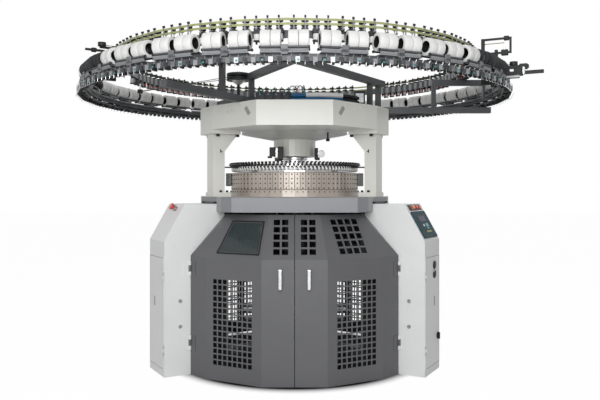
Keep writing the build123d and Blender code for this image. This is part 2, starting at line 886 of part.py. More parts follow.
# Crown: a closed cast box, deep in front and over the columns and shallow behind, with a foot on
# each column and a cone that comes down to the hub
crown_front_side = [(crown_front_reach, crown_front_half_width)]
crown_rear_side = [(crown_rear_reach, crown_rear_half_width)]
crown_outline = plan_outline(
    crown_ear_reach, crown_ear_half_width, crown_front_side, crown_rear_side
)
deep_outline = [
    polar(leg_direction["left"], crown_ear_reach, -crown_ear_half_width),
    polar(leg_direction["left"], crown_ear_reach, crown_ear_half_width),
    polar(front_direction, crown_front_reach, -crown_front_half_width),
    polar(front_direction, crown_front_reach, crown_front_half_width),
    polar(leg_direction["right"], crown_ear_reach, -crown_ear_half_width),
    polar(leg_direction["right"], crown_ear_reach, crown_ear_half_width),
]
crown_sides = {front_direction: crown_front_side[0]}
crown_sides.update({sector: crown_rear_side[0] for sector in rear_sector_direction.values()})
with BuildPart() as crown:
    with BuildSketch(Plane.XY.offset(crown_rear_bottom)):
        Polygon(*crown_outline, align=None)
    extrude(amount=crown_top - crown_rear_bottom)
    with BuildSketch(Plane.XY.offset(crown_bottom)):
        Polygon(*deep_outline, align=None)
        Circle(crown_cone_radius)
    extrude(amount=crown_rear_bottom - crown_bottom)
    with BuildSketch(Plane.XY.offset(crown_rear_bottom + crown_wall)):
        Polygon(*inset_polygon(crown_outline, [crown_wall] * len(crown_outline)), align=None)
    extrude(amount=crown_top - crown_rear_bottom - 2 * crown_wall, mode=Mode.SUBTRACT)
    with BuildSketch(Plane.XY.offset(crown_bottom + crown_wall)):
        Polygon(*inset_polygon(deep_outline, [crown_wall] * len(deep_outline)), align=None)
        RegularPolygon(crown_cone_radius - crown_wall, hub_sides)
    extrude(amount=crown_rear_bottom - crown_bottom - crown_wall, mode=Mode.SUBTRACT)
    with BuildSketch(Plane.XZ):
        Polygon(
            (0, crown_cone_bottom),
            (hub_radius, crown_cone_bottom),
            (crown_cone_radius, crown_bottom),
            (0, crown_bottom),
            align=None,
        )
    revolve(axis=Axis.Z)
    for name, leg in leg_direction.items():
        foot_top = crown_rear_bottom if name == "rear" else crown_bottom
        with BuildSketch(level_plane(leg, column_top)):
            with Locations(((crown_foot_inner + crown_ear_reach) / 2, 0)):
                Rectangle(crown_ear_reach - crown_foot_inner, 2 * crown_ear_half_width)
        extrude(amount=foot_top - column_top)
    for sector, (reach, half_width) in crown_sides.items():
        for side in (-1, 1):
            start = Vector(*polar(sector, reach, side * half_width))
            leg = sector + half_sector * side
            end = Vector(*polar(leg, crown_ear_reach, -side * crown_ear_half_width))
            plane = facet_plane(
                (start.X, start.Y, crown_recess_top),
                (end.X, end.Y, crown_recess_top),
                (start.X, start.Y, crown_top),
            )
            with BuildSketch(plane):
                half = side * crown_recess_length / 2
                slant = side * crown_recess_slant
                Polygon(
                    (-half, crown_recess_height),
                    (half - slant, crown_recess_height),
                    (half, 0),
                    (slant - half, 0),
                    align=None,
                )
            extrude(amount=-crown_recess_depth, mode=Mode.SUBTRACT)
    chamfer(crown.edges().group_by(Axis.Z)[-1].filter_by(GeomType.LINE), crown_chamfer)
keep(crown.part, "crown")

# Hub under the crown, the dial's drive shaft and the fixed sleeve round it
with BuildPart() as hub:
    with BuildSketch(Plane.XY.offset(hub_bottom)):
        RegularPolygon(hub_radius, hub_sides)
    extrude(amount=crown_cone_bottom - hub_bottom)
    with BuildSketch(Plane.XY.offset(hub_bottom)):
        RegularPolygon(dial_shaft_radius + pin_clearance, shaft_sides, major_radius=False)
    extrude(amount=(crown_cone_bottom - hub_bottom) / 2, mode=Mode.SUBTRACT)
keep(hub.part, "hub")

with BuildPart() as dial:
    with BuildSketch(Plane.XY.offset(dial_bottom)):
        RegularPolygon(dial_radius, cylinder_sides)
    extrude(amount=dial_thickness)
    with BuildSketch(Plane.XY.offset(dial_bottom)):
        RegularPolygon(dial_shaft_radius, shaft_sides)
    extrude(amount=hub_bottom + (crown_cone_bottom - hub_bottom) / 2 - running_clearance - dial_bottom)
keep(dial.part, "dial")

with BuildPart() as dial_cam_ring:
    with BuildSketch(Plane.XY.offset(dial_cam_bottom)):
        RegularPolygon(dial_cam_radius, cylinder_sides)
    extrude(amount=dial_cam_thickness)
    with BuildSketch(Plane.XY.offset(dial_cam_bottom)):
        RegularPolygon(dial_sleeve_radius, hub_sides)
    extrude(amount=hub_bottom - dial_cam_bottom)
    with BuildSketch(Plane.XY.offset(dial_cam_bottom)):
        RegularPolygon(dial_shaft_radius + running_clearance, shaft_sides, major_radius=False)
    extrude(amount=hub_bottom - dial_cam_bottom, mode=Mode.SUBTRACT)
keep(dial_cam_ring.part, "dial_cam_ring")

# Needle cylinder, its gear ring under the bed plate, and the fixed cam rings round it
cylinder_bottom = bed_plate_bottom - running_clearance - cylinder_gear_height
with BuildPart() as needle_cylinder:
    with BuildSketch(Plane.XY.offset(cylinder_bottom)):
        RegularPolygon(cylinder_radius, cylinder_sides)
        RegularPolygon(
            cylinder_radius - cylinder_wall, cylinder_sides, mode=Mode.SUBTRACT
        )
    extrude(amount=cylinder_top - cylinder_bottom)
keep(needle_cylinder.part, "needle_cylinder")

with BuildPart() as cylinder_gear:
    with BuildSketch(Plane.XY.offset(cylinder_bottom)):
        RegularPolygon(cylinder_gear_radius, cylinder_sides)
        RegularPolygon(
            cylinder_radius, cylinder_sides, mode=Mode.SUBTRACT
        )
    extrude(amount=cylinder_gear_height)
keep(cylinder_gear.part, "cylinder_gear")

with BuildPart() as cam_base_ring:
    with BuildSketch(Plane.XY.offset(bed_top)):
        RegularPolygon(cam_base_radius, cylinder_sides)
        RegularPolygon(cam_ring_bore, cam_bore_sides, major_radius=False, mode=Mode.SUBTRACT)
    extrude(amount=cam_base_height)
keep(cam_base_ring.part, "cam_base_ring")

cam_bottom = bed_top + cam_base_height
with BuildPart() as cam_ring:
    with BuildSketch(Plane.XY.offset(cam_bottom)):
        RegularPolygon(cam_ring_radius, cam_count)
        RegularPolygon(cam_ring_bore, cam_bore_sides, major_radius=False, mode=Mode.SUBTRACT)
    extrude(amount=cam_ring_height)
    for leg in leg_direction.values():
        with BuildSketch(level_plane(leg, cam_bottom)):
            with Locations(((cam_ring_bore + cam_ring_radius) / 2, 0)):
                Rectangle(2 * (cam_ring_radius - cam_ring_bore), cam_section_gap)
        extrude(amount=cam_ring_height, mode=Mode.SUBTRACT)
    cam_top = cam_bottom + cam_ring_height
    for side in (-1, 1):
        with BuildSketch(Plane.XY.offset(cam_top - cam_block_height)):
            with Locations((side * (cam_ring_bore + cam_block_reach) / 2, 0)):
                Rectangle(cam_block_reach - cam_ring_bore, 2 * cam_block_half_width)
        extrude(amount=cam_block_height)
keep(cam_ring.part, "cam_ring")

# Yarn guide ring, carried by a bracket on each column, with its guides below it
with BuildPart() as yarn_guide_ring:
    with BuildSketch(Plane.XY.offset(guide_ring_bottom)):
        RegularPolygon(guide_ring_radius, guide_count, major_radius=False)
        RegularPolygon(guide_ring_inner_radius, guide_count, mode=Mode.SUBTRACT)
    extrude(amount=guide_ring_thickness)
    column_face = column_reach - column_depth / 2
    bracket_start = guide_ring_radius - guide_bracket_overlap
    for leg in leg_direction.values():
        with BuildSketch(level_plane(leg, guide_ring_bottom)):
            with Locations(((bracket_start + column_face) / 2, 0)):
                Rectangle(column_face - bracket_start, guide_bracket_width)
        extrude(amount=guide_ring_thickness)
keep(yarn_guide_ring.part, "yarn_guide_ring")

with BuildPart() as yarn_guides:
    for number in range(guide_count):
        direction = (number + 0.5) * 360 / guide_count
        with BuildSketch(level_plane(direction, guide_ring_bottom - guide_height)):
            with Locations((guide_ring_radius - guide_depth / 2 - guide_setback, 0)):
                Rectangle(guide_depth, guide_width)
    extrude(amount=guide_height)
keep(yarn_guides.part, "yarn_guides")

# Ring carriers: three level arms on the crown, each with a post and an upper arm that holds the
# inner rail from below and the outer rail from a hanger at its end, and one more at the front
hanger_inner = hanger_outer_reach - hanger_width
outer_rail_inner = outer_rail_reach - outer_rail_width / 2
inner_rail_inner = inner_rail_reach - inner_rail_width / 2
inner_rail_outer = inner_rail_reach + inner_rail_width / 2
with BuildPart() as ring_arms:
    for direction in arm_direction.values():
        with BuildSketch(level_plane(direction, crown_top)):
            with Locations(((arm_inner_reach + arm_outer_reach) / 2, 0)):
                Rectangle(arm_outer_reach - arm_inner_reach, arm_size)
        extrude(amount=arm_size)
    for name, direction in [*arm_direction.items(), ("front", front_direction)]:
        if name == "front":
            start = beam_apex_reach + beam_size
            arm_bottom = beam_top - beam_size
            post_corners = [(start, arm_bottom)]
        else:
            start = arm_post_reach[name] - post_size / 2
            arm_bottom = upper_arm_bottom
            post_corners = [
                (start + post_size, arm_bottom),
                (start + post_size, crown_top + arm_size),
                (start, crown_top + arm_size),
            ]
        arm_top = arm_bottom + beam_size
        with BuildSketch(upright_plane(direction)):
            Polygon(
                *post_corners,
                (start, arm_top),
                (inner_rail_inner, arm_top),
                (inner_rail_inner, inner_rail_bottom),
                (inner_rail_outer, inner_rail_bottom),
                (inner_rail_outer, arm_top),
                (hanger_outer_reach, arm_top),
                (hanger_outer_reach, outer_rail_bottom),
                (rail_seat_reach, outer_rail_bottom),
                (rail_seat_reach, outer_rail_bottom - rail_seat_thickness),
                (hanger_inner, outer_rail_bottom - rail_seat_thickness),
                (hanger_inner, arm_bottom),
                align=None,
            )
        extrude(amount=post_size / 2, both=True)
keep(ring_arms.part, "ring_arms")

# Two level beams that start over the crown, on posts, and meet under the front of the inner ring
apex = polar(front_direction, beam_apex_reach)
with BuildPart() as ring_beams:
    for end, posts, posts_bottom in (
        (beam_right_end, beam_right_posts, crown_top),
        (beam_left_end, beam_left_posts, crown_top + arm_size),
    ):
        reach = hypot(apex[0] - end[0], apex[1] - end[1])
        beam_direction = degrees(atan2(apex[1] - end[1], apex[0] - end[0]))
        beam_plane = Plane(
            origin=(end[0], end[1], beam_top - beam_size),
            x_dir=(cos(radians(beam_direction)), sin(radians(beam_direction)), 0),
            z_dir=(0, 0, 1),
        )
        with BuildSketch(beam_plane):
            with Locations((reach / 2, 0)):
                Rectangle(reach, beam_size)
        extrude(amount=beam_size)
        with BuildSketch(beam_plane):
            with Locations(*[(place, 0) for place in posts]):
                Rectangle(post_size, post_size)
        extrude(amount=posts_bottom - beam_top + beam_size)
    with BuildSketch(level_plane(front_direction, beam_top - beam_size)):
        with Locations((beam_apex_reach, 0)):
            Rectangle(2 * beam_size, 2 * beam_size)
    extrude(amount=beam_size)
keep(ring_beams.part, "ring_beams")

# Outer ring: a rail of straight lengths with an unwinding device over each of its joints
outer_rail_top = outer_rail_bottom + outer_rail_height
with BuildPart() as outer_rail:
    with BuildSketch(level_plane(first_device_direction, outer_rail_bottom)):
        RegularPolygon(outer_rail_reach + outer_rail_width / 2, ring_lengths, major_radius=False)
        RegularPolygon(
            outer_rail_reach - outer_rail_width / 2,
            ring_lengths,
            major_radius=False,
            mode=Mode.SUBTRACT,
        )
    extrude(amount=outer_rail_height)
keep(outer_rail.part, "outer_rail")

with BuildPart() as guide_strip:
    with BuildSketch(level_plane(first_device_direction, strip_bottom)):
        RegularPolygon(strip_reach + strip_thickness / 2, ring_lengths, major_radius=False)
        RegularPolygon(
            strip_reach - strip_thickness / 2,
            ring_lengths,
            major_radius=False,
            mode=Mode.SUBTRACT,
        )
    extrude(amount=strip_height)
    strip_arm_bottom = strip_bottom + strip_height - strip_arm_height
    strip_arm_start = outer_rail_reach + outer_rail_width / 2
    for number in range(0, ring_lengths, lengths_per_strip_arm):
        direction = first_device_direction + (number + 0.5) * length_angle
        with BuildSketch(level_plane(direction, strip_arm_bottom)):
            with Locations(((strip_arm_start + strip_reach) / 2, 0)):
                Rectangle(strip_reach - strip_arm_start, strip_arm_width)
        extrude(amount=strip_arm_height)
keep(guide_strip.part, "guide_strip")

roller_side_angle = 360 / spool_sides
roller_distance = spool_radius + roller_radius + seat_gap
roller_offset = roller_distance * sin(radians(roller_side_angle))
roller_height = spool_height - roller_distance * cos(radians(roller_side_angle))
roller_corner = roller_radius / cos(radians(180 / roller_sides))
housing_top = roller_height - roller_corner - seat_gap
with BuildPart() as spool_brackets:
    for number in range(ring_lengths):
        direction = first_device_direction + number * length_angle
        with BuildSketch(level_plane(direction, outer_rail_top)):
            with Locations((outer_rail_reach, 0)):
                Rectangle(2 * housing_half_depth, 2 * housing_half_width)
    extrude(amount=housing_top - outer_rail_top)
    for number in range(ring_lengths):
        direction = first_device_direction + number * length_angle
        with BuildSketch(level_plane(direction, housing_lip_bottom)):
            with Locations((outer_rail_reach + housing_half_depth - housing_lip / 2, 0)):
                Rectangle(housing_lip, 2 * housing_half_width)
    extrude(amount=housing_lip_top - housing_lip_bottom)
keep(spool_brackets.part, "spool_brackets")

with BuildPart() as spool_rollers:
    for number in range(ring_lengths):
        direction = first_device_direction + number * length_angle
        for side in (-1, 1):
            with BuildSketch(upright_plane(direction)):
                with Locations((outer_rail_reach + side * roller_offset, roller_height)):
                    RegularPolygon(
                        roller_radius,
                        roller_sides,
                        major_radius=False,
                        rotation=90 - 180 / roller_sides + side * roller_side_angle,
                    )
    extrude(amount=roller_length / 2, both=True)
keep(spool_rollers.part, "spool_rollers")

with BuildPart() as elastane_spools:
    for number in range(ring_lengths):
        direction = first_device_direction + number * length_angle
        for side in (-1, 1):
            with BuildSketch(upright_plane(direction, side * spool_pair_offset)):
                with Locations((outer_rail_reach, spool_height)):
                    RegularPolygon(spool_radius, spool_sides, major_radius=False)
    extrude(amount=spool_pair_width / 2, both=True)
keep(elastane_spools.part, "elastane_spools")

# Inner ring: rail, storage feeders on its outer face and two toothed belts round them
with BuildPart() as inner_rail:
    with BuildSketch(level_plane(first_device_direction, inner_rail_bottom)):
        RegularPolygon(inner_rail_reach + inner_rail_width / 2, ring_lengths, major_radius=False)
        RegularPolygon(
            inner_rail_reach - inner_rail_width / 2,
            ring_lengths,
            major_radius=False,
            mode=Mode.SUBTRACT,
        )
    extrude(amount=inner_rail_height)
keep(inner_rail.part, "inner_rail")

feeder_inner = inner_rail_outer
bare_directions = [direction % 360 for direction in bare_lengths]
with BuildPart() as storage_feeders:
    for number in range(ring_lengths):
        direction = (first_device_direction + (number + 0.5) * length_angle) % 360
        if direction not in bare_directions:
            with BuildSketch(level_plane(direction, feeder_bottom)):
                with Locations((feeder_inner + feeder_depth / 2, 0)):
                    with GridLocations(0, feeder_pitch, 1, feeders_per_length):
                        Rectangle(feeder_depth, 2 * feeder_half_width)
    extrude(amount=feeder_top - feeder_bottom)
keep(storage_feeders.part, "storage_feeders")

with BuildPart() as feeder_belts:
    for belt_bottom in belt_bottoms:
        with BuildSketch(level_plane(first_device_direction, belt_bottom)):
            RegularPolygon(
                feeder_inner + feeder_depth + belt_thickness, ring_lengths, major_radius=False
            )
            RegularPolygon(
                feeder_inner + feeder_depth,
                ring_lengths,
                major_radius=False,
                mode=Mode.SUBTRACT,
            )
        extrude(amount=belt_height)
keep(feeder_belts.part, "feeder_belts")

# Belt tension stations: a post on the outer rail with bars that reach out between the spools
pin_base = {}
with BuildPart() as tension_arms:
    for name, direction in tension_direction.items():
        with BuildSketch(level_plane(direction, outer_rail_bottom)):
            with Locations((tension_post_reach, 0)):
                Rectangle(tension_post_size, tension_post_size)
        extrude(amount=tension_post_top[name] - outer_rail_bottom)
        with BuildSketch(level_plane(direction, outer_rail_bottom)):
            with Locations(((tension_post_reach + outer_rail_inner) / 2, 0)):
                Rectangle(outer_rail_inner - tension_post_reach, tension_post_size)
        extrude(amount=outer_rail_height)
        for bar_reach, bar_height, bar_size in tension_bars[name]:
            with BuildSketch(level_plane(direction, bar_height - bar_size / 2)):
                with Locations(((tension_post_reach + bar_reach) / 2, 0)):
                    Rectangle(bar_reach - tension_post_reach, bar_size)
            extrude(amount=bar_size)
        _, pin_bar_height, pin_bar_size = tension_bars[name][tension_pin_bar[name]]
        pin_base[name] = pin_bar_height + pin_bar_size / 2
        with BuildSketch(level_plane(direction, pin_base[name])):
            with Locations((tension_pulley_reach[name], 0)):
                RegularPolygon(tension_pin_radius, shaft_sides)
        extrude(amount=seat_gap + tension_pulley_height)
    link_reach, link_size = tension_link
    link_ends = [bar_height for _, bar_height, _ in tension_bars["right"][:2]]
    with BuildSketch(level_plane(tension_direction["right"], min(link_ends))):
        with Locations((link_reach - link_size / 2, 0)):
            Rectangle(link_size, link_size)
    extrude(amount=max(link_ends) - min(link_ends))
keep(tension_arms.part, "tension_arms")

for name, direction in tension_direction.items():
    with BuildPart() as tension_pulley:
        with BuildSketch(level_plane(direction, pin_base[name] + seat_gap)):
            with Locations((tension_pulley_reach[name], 0)):
                RegularPolygon(tension_pulley_radius, hub_sides)
        extrude(amount=tension_pulley_height)
        with BuildSketch(level_plane(direction, pin_base[name] + seat_gap)):
            with Locations((tension_pulley_reach[name], 0)):
                RegularPolygon(tension_pin_radius + pin_clearance, shaft_sides, major_radius=False)
        extrude(amount=tension_pulley_height, mode=Mode.SUBTRACT)
    keep(tension_pulley.part, f"tension_pulley_{name}")

# Quality wheel on an upright shaft that turns in a bearing block on the crown
with BuildPart() as quality_bearing:
    with BuildSketch(Plane.XY.offset(crown_top)):
        with Locations(quality_wheel_place):
            Rectangle(quality_block, quality_block)
    extrude(amount=quality_block)
    with BuildSketch(Plane.XY.offset(crown_top + quality_shaft_lift)):
        with Locations(quality_wheel_place):
            RegularPolygon(quality_shaft_radius + pin_clearance, shaft_sides, major_radius=False)
    extrude(amount=quality_block, mode=Mode.SUBTRACT)
keep(quality_bearing.part, "quality_bearing")

with BuildPart() as quality_wheel:
    with BuildSketch(Plane.XY.offset(crown_top + quality_shaft_lift + pin_clearance)):
        with Locations(quality_wheel_place):
            RegularPolygon(quality_shaft_radius, shaft_sides)
    extrude(amount=quality_wheel_bottom - crown_top)
    flange = (quality_wheel_thickness - 2 * quality_wheel_groove) / 2
    for bottom, radius, tall in (
        (quality_wheel_bottom, quality_wheel_radius, flange),
        (
            quality_wheel_bottom + flange,
            quality_wheel_radius - quality_web_inset,
            2 * quality_wheel_groove,
        ),
        (quality_wheel_bottom + flange + 2 * quality_wheel_groove, quality_wheel_radius, flange),
    ):
        with BuildSketch(Plane.XY.offset(bottom)):
            with Locations(quality_wheel_place):
                RegularPolygon(radius, quality_wheel_sides)
        extrude(amount=tall)
keep(quality_wheel.part, "quality_wheel")

# Hoses on the crown in two layers of two, between a valve block and a junction box
hose_pitch = 2 * hose_radius + seat_gap
hose_height = crown_top + seat_gap + hose_radius + hose_pitch / 2
with BuildPart() as hose_loom:
    with BuildLine() as hose_line:
        FilletPolyline(*[(x, y, hose_height) for x, y in hose_route], radius=hose_bend_radius)
    hose_start = Plane(
        origin=hose_line.line @ 0, x_dir=(0, 0, 1), z_dir=hose_line.line % 0
    )
    with BuildSketch(hose_start):
        with GridLocations(hose_pitch, hose_pitch, 2, 2):
            RegularPolygon(hose_radius, hose_sides)
    sweep(path=hose_line.wires()[0])
    for (length, width, height), place in (
        (valve_block, valve_block_place),
        (junction_box, junction_box_place),
    ):
        with BuildSketch(Plane.XY.offset(crown_top)):
            with Locations(place):
                Rectangle(length, width)
        extrude(amount=height)
keep(hose_loom.part, "hose_loom")

# Machine base: a boss on three arms between the legs, with a pad under it on the floor
arm_start = base_boss_radius - base_arm_overlap
with BuildPart() as machine_base:
    with BuildSketch(Plane.XY.offset(base_arm_bottom)):
        RegularPolygon(base_boss_radius, hub_sides)
    extrude(amount=base_arm_height)
    for leg in leg_direction.values():
        with BuildSketch(level_plane(leg, base_arm_bottom)):
            with Locations(((arm_start + leg_inner_reach) / 2, 0)):
                Rectangle(leg_inner_reach - arm_start, base_arm_width)
        extrude(amount=base_arm_height)
    with BuildSketch(Plane.XY.offset(base_arm_bottom)):
        RegularPolygon(takedown_pivot_radius + pin_clearance, shaft_sides, major_radius=False)
    extrude(amount=base_arm_height, mode=Mode.SUBTRACT)
    with BuildSketch(Plane.XY):
        RegularPolygon(base_boss_radius, hub_sides)
    extrude(amount=base_arm_bottom)
keep(machine_base.part, "machine_base")

# Take-down frame: hangs from the gear ring and turns with the cylinder
takedown_outer = takedown_plate_reach + takedown_plate_thickness
triangle_side = 2 * takedown_roller_radius + takedown_roller_gap
takedown_rollers = {
    "front": (-triangle_side / 2, takedown_roller_height),
    "rear": (triangle_side / 2, takedown_roller_height),
    "upper": (0, takedown_roller_height + triangle_side * sin(radians(60))),
}
roller_span = takedown_plate_reach - takedown_end_gap
with BuildPart() as takedown_frame:
    for side in (-1, 1):
        with BuildSketch(Plane.XY.offset(takedown_bottom)):
            with Locations((side * (takedown_plate_reach + takedown_plate_thickness / 2), 0)):
                Rectangle(takedown_plate_thickness, takedown_plate_width)
        extrude(amount=cylinder_bottom - takedown_bottom)
    with BuildSketch(Plane.XY.offset(takedown_bottom)):
        Rectangle(2 * takedown_plate_reach, takedown_beam_width)
    extrude(amount=takedown_beam_height)
    with BuildSketch(Plane.XY.offset(base_arm_bottom + seat_gap)):
        RegularPolygon(takedown_pivot_radius, shaft_sides)
    extrude(amount=takedown_bottom - base_arm_bottom - seat_gap)
    for place in [*takedown_rollers.values(), (0, batch_roller_height)]:
        with BuildSketch(Plane.YZ.offset(-takedown_outer)):
            with Locations(place):
                RegularPolygon(takedown_journal_radius + pin_clearance, shaft_sides, major_radius=False)
        extrude(amount=2 * takedown_outer, mode=Mode.SUBTRACT)
keep(takedown_frame.part, "takedown_frame")

rollers = [
    (f"takedown_roller_{name}", place, takedown_roller_radius)
    for name, place in takedown_rollers.items()
]
rollers.append(("batch_roller", (0, batch_roller_height), batch_roller_radius))
for name, place, radius in rollers:
    with BuildPart() as roller:
        with BuildSketch(Plane.YZ.offset(-roller_span)):
            with Locations(place):
                RegularPolygon(radius, roller_sides_long)
        extrude(amount=2 * roller_span)
        with BuildSketch(Plane.YZ.offset(-takedown_outer)):
            with Locations(place):
                RegularPolygon(takedown_journal_radius, shaft_sides)
        extrude(amount=2 * takedown_outer)
    keep(roller.part, name)

# Drive: a motor on the rear arm of the base and a shaft with a pinion beside the gear ring
drive_place = polar(leg_direction["rear"], drive_reach)
motor_bottom = base_arm_bottom + base_arm_height
with BuildPart() as drive_motor:
    with BuildSketch(Plane.XY.offset(motor_bottom)):
        with Locations(drive_place):
            RegularPolygon(drive_motor_radius, drive_motor_sides)
    extrude(amount=drive_motor_height)
    with BuildSketch(Plane.XY.offset(motor_bottom + drive_motor_height - drive_socket)):
        with Locations(drive_place):
            RegularPolygon(drive_shaft_radius + pin_clearance, shaft_sides, major_radius=False)
    extrude(amount=drive_socket, mode=Mode.SUBTRACT)
keep(drive_motor.part, "drive_motor")

with BuildPart() as drive_shaft:
    shaft_bottom = motor_bottom + drive_motor_height - drive_socket + pin_clearance
    with BuildSketch(Plane.XY.offset(shaft_bottom)):
        with Locations(drive_place):
            RegularPolygon(drive_shaft_radius, shaft_sides)
    extrude(amount=cylinder_bottom - shaft_bottom)
    with BuildSketch(Plane.XY.offset(cylinder_bottom)):
        with Locations(drive_place):
            RegularPolygon(drive_pinion_radius, hub_sides)
    extrude(amount=cylinder_gear_height)
    with BuildSketch(Plane.XY.offset(cylinder_bottom + cylinder_gear_height)):
        with Locations(drive_place):
            RegularPolygon(drive_tip_radius, shaft_sides)
    extrude(amount=drive_socket)
keep(drive_shaft.part, "drive_shaft")

# Control panel on the sloping head of the right cover, and the buttons above it
slope_rise = Vector(cover_top_reach - cover_reach, cover_top_height - cover_knee_height)


def slope_plane(direction, up_slope, lift=0.0):
    """The plane of a cover's sloping head, with its origin at a distance above the knee."""
    a = radians(direction)
    along = slope_rise.normalized()
    radial = cover_reach + along.X * up_slope + along.Y * lift
    height = cover_knee_height + along.Y * up_slope - along.X * lift
    x, y = polar(direction, radial)
    return Plane(
        origin=(x, y, height),
        x_dir=(-sin(a), cos(a), 0),
        z_dir=(cos(a) * along.Y, sin(a) * along.Y, -along.X),
    )


right_cover = leg_direction["right"]
panel_middle = (panel_low + panel_high) / 2
with BuildPart() as control_panel:
    with BuildSketch(slope_plane(right_cover, panel_middle)):
        RectangleRounded(2 * panel_half_width, panel_high - panel_low, panel_corner)
    extrude(amount=panel_thickness)
    with BuildSketch(slope_plane(right_cover, panel_middle + screen_offset, panel_thickness)):
        Rectangle(screen_width + 2 * seat_gap, screen_height + 2 * seat_gap)
    extrude(amount=-screen_recess, mode=Mode.SUBTRACT)
keep(control_panel.part, "control_panel")

screen_base = panel_thickness - screen_recess
with BuildPart() as control_screen:
    with BuildSketch(slope_plane(right_cover, panel_middle + screen_offset, screen_base)):
        Rectangle(screen_width, screen_height)
    extrude(amount=screen_thickness)
keep(control_screen.part, "control_screen")

buttons = {
    "start_button": ("right", -button_spacing),
    "inch_button": ("right", 0),
    "stop_button": ("right", button_spacing),
    "emergency_stop": ("left", 0),
}
with BuildPart() as cover_fittings:
    for leg_name, offset_along in buttons.values():
        with BuildSketch(slope_plane(leg_direction[leg_name], button_row)):
            with Locations((offset_along, 0)):
                RegularPolygon(bezel_radius, button_sides)
                RegularPolygon(
                    button_radius + pin_clearance,
                    button_sides,
                    mode=Mode.SUBTRACT,
                )
        extrude(amount=bezel_height)
    for leg, side in ((leg_direction["left"], -1), (leg_direction["right"], 1)):
        for height in lock_heights:
            with BuildSketch(upright_plane(leg, -side * cover_half_width)):
                with Locations((lock_reach, height)):
                    RegularPolygon(lock_radius, button_sides)
            extrude(amount=side * lock_height)
keep(cover_fittings.part, "cover_fittings")

for name, (leg_name, offset_along) in buttons.items():
    direction = leg_direction[leg_name]
    with BuildPart() as button:
        with BuildSketch(slope_plane(direction, button_row, button_travel + seat_gap)):
            with Locations((offset_along, 0)):
                RegularPolygon(button_radius, button_sides)
        extrude(amount=button_height)
        if name == "emergency_stop":
            head_lift = button_travel + seat_gap + button_height
            with BuildSketch(slope_plane(direction, button_row, head_lift)):
                with Locations((offset_along, 0)):
                    RegularPolygon(stop_head_radius, button_sides)
            extrude(amount=stop_head_height)
    keep(button.part, name)

# Main switch knob on a stud of the right cabinet door
with BuildPart() as main_switch_knob:
    with BuildSketch(switch_face.offset(seat_gap)):
        with Locations((switch_offset, 0)):
            RegularPolygon(switch_radius, hub_sides)
    extrude(amount=2 * sheet)
    with BuildSketch(switch_face.offset(seat_gap)):
        with Locations((switch_offset, 0)):
            RegularPolygon(switch_stud_radius + pin_clearance, shaft_sides, major_radius=False)
    extrude(amount=sheet + pin_clearance, mode=Mode.SUBTRACT)
    with BuildSketch(switch_face.offset(seat_gap + 2 * sheet)):
        with Locations((switch_offset, 0)):
            Rectangle(switch_bar_width, switch_bar)
    extrude(amount=3 * sheet)
keep(main_switch_knob.part, "main_switch_knob")
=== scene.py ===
# %% [markdown]
# This file dresses the solid model of a circular knitting machine for a picture. It is a lesson:
# each cell first says what a piece is on the real machine, and then makes it.
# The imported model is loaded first. Its parts keep their shape and place, and move as they do in
# the real machine, so every piece added here is told which moving body it rides on.

from math import atan2, cos, degrees, hypot, radians, sin

import bpy
from mathutils import Matrix, Vector


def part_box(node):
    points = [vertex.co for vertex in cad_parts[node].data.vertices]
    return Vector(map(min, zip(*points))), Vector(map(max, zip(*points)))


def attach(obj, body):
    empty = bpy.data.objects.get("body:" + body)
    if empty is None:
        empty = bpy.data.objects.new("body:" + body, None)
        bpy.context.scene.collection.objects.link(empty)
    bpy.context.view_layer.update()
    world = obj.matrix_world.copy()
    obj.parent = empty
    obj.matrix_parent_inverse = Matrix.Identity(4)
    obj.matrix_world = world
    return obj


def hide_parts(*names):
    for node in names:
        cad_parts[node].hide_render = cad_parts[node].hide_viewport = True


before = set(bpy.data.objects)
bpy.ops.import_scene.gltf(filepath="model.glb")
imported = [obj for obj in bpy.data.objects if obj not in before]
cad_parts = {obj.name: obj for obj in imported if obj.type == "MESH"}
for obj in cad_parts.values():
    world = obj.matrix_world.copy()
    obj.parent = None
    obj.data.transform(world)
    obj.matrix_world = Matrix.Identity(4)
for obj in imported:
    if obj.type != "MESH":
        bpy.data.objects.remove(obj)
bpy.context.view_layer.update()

# %% [markdown]
# The camera comes before the pieces, because it decides which details matter. The picture was
# taken from straight ahead, a little over a metre above the floor, with the machine slightly left
# of the middle. So the camera looks level along +Y, and its picture plane is shifted by a few
# pixels.

# %% Camera
picture_width, focal_pixels, sensor_width = 600, 667, 36
bpy.ops.object.camera_add(location=(0, -4.706, 1.165), rotation=(radians(90), 0, 0))
camera = bpy.context.object
camera.name = "photo_view"
camera.data.lens = focal_pixels / picture_width * sensor_width
camera.data.sensor_width = sensor_width
camera.data.shift_x = 5.4 / picture_width
camera.data.shift_y = -10 / picture_width
bpy.context.scene.camera = camera
print("camera lens", round(camera.data.lens, 2), "mm")

# %% [markdown]
# The surround, the finishes and the floor are all built of shader nodes. These helpers add a node
# and give each of its inputs a value, or link it to another node's output.

# %% Helpers for shading
def feed(node, inputs):
    """Gives inputs of a node, by name or number, a value or a link to an output."""
    for name, value in inputs.items():
        if isinstance(value, bpy.types.NodeSocket):
            node.id_data.links.new(value, node.inputs[name])
        else:
            node.inputs[name].default_value = value


def add_node(tree, kind, inputs=None, **settings):
    """A new node, with its settings made before its inputs are fed."""
    node = tree.nodes.new("ShaderNode" + kind)
    for name, value in settings.items():
        setattr(node, name, value)
    feed(node, inputs or {})
    return node


def compute(tree, operation, first, second):
    """The output of one sum or comparison of two outputs or numbers."""
    return add_node(tree, "Math", {0: first, 1: second}, operation=operation).outputs[0]


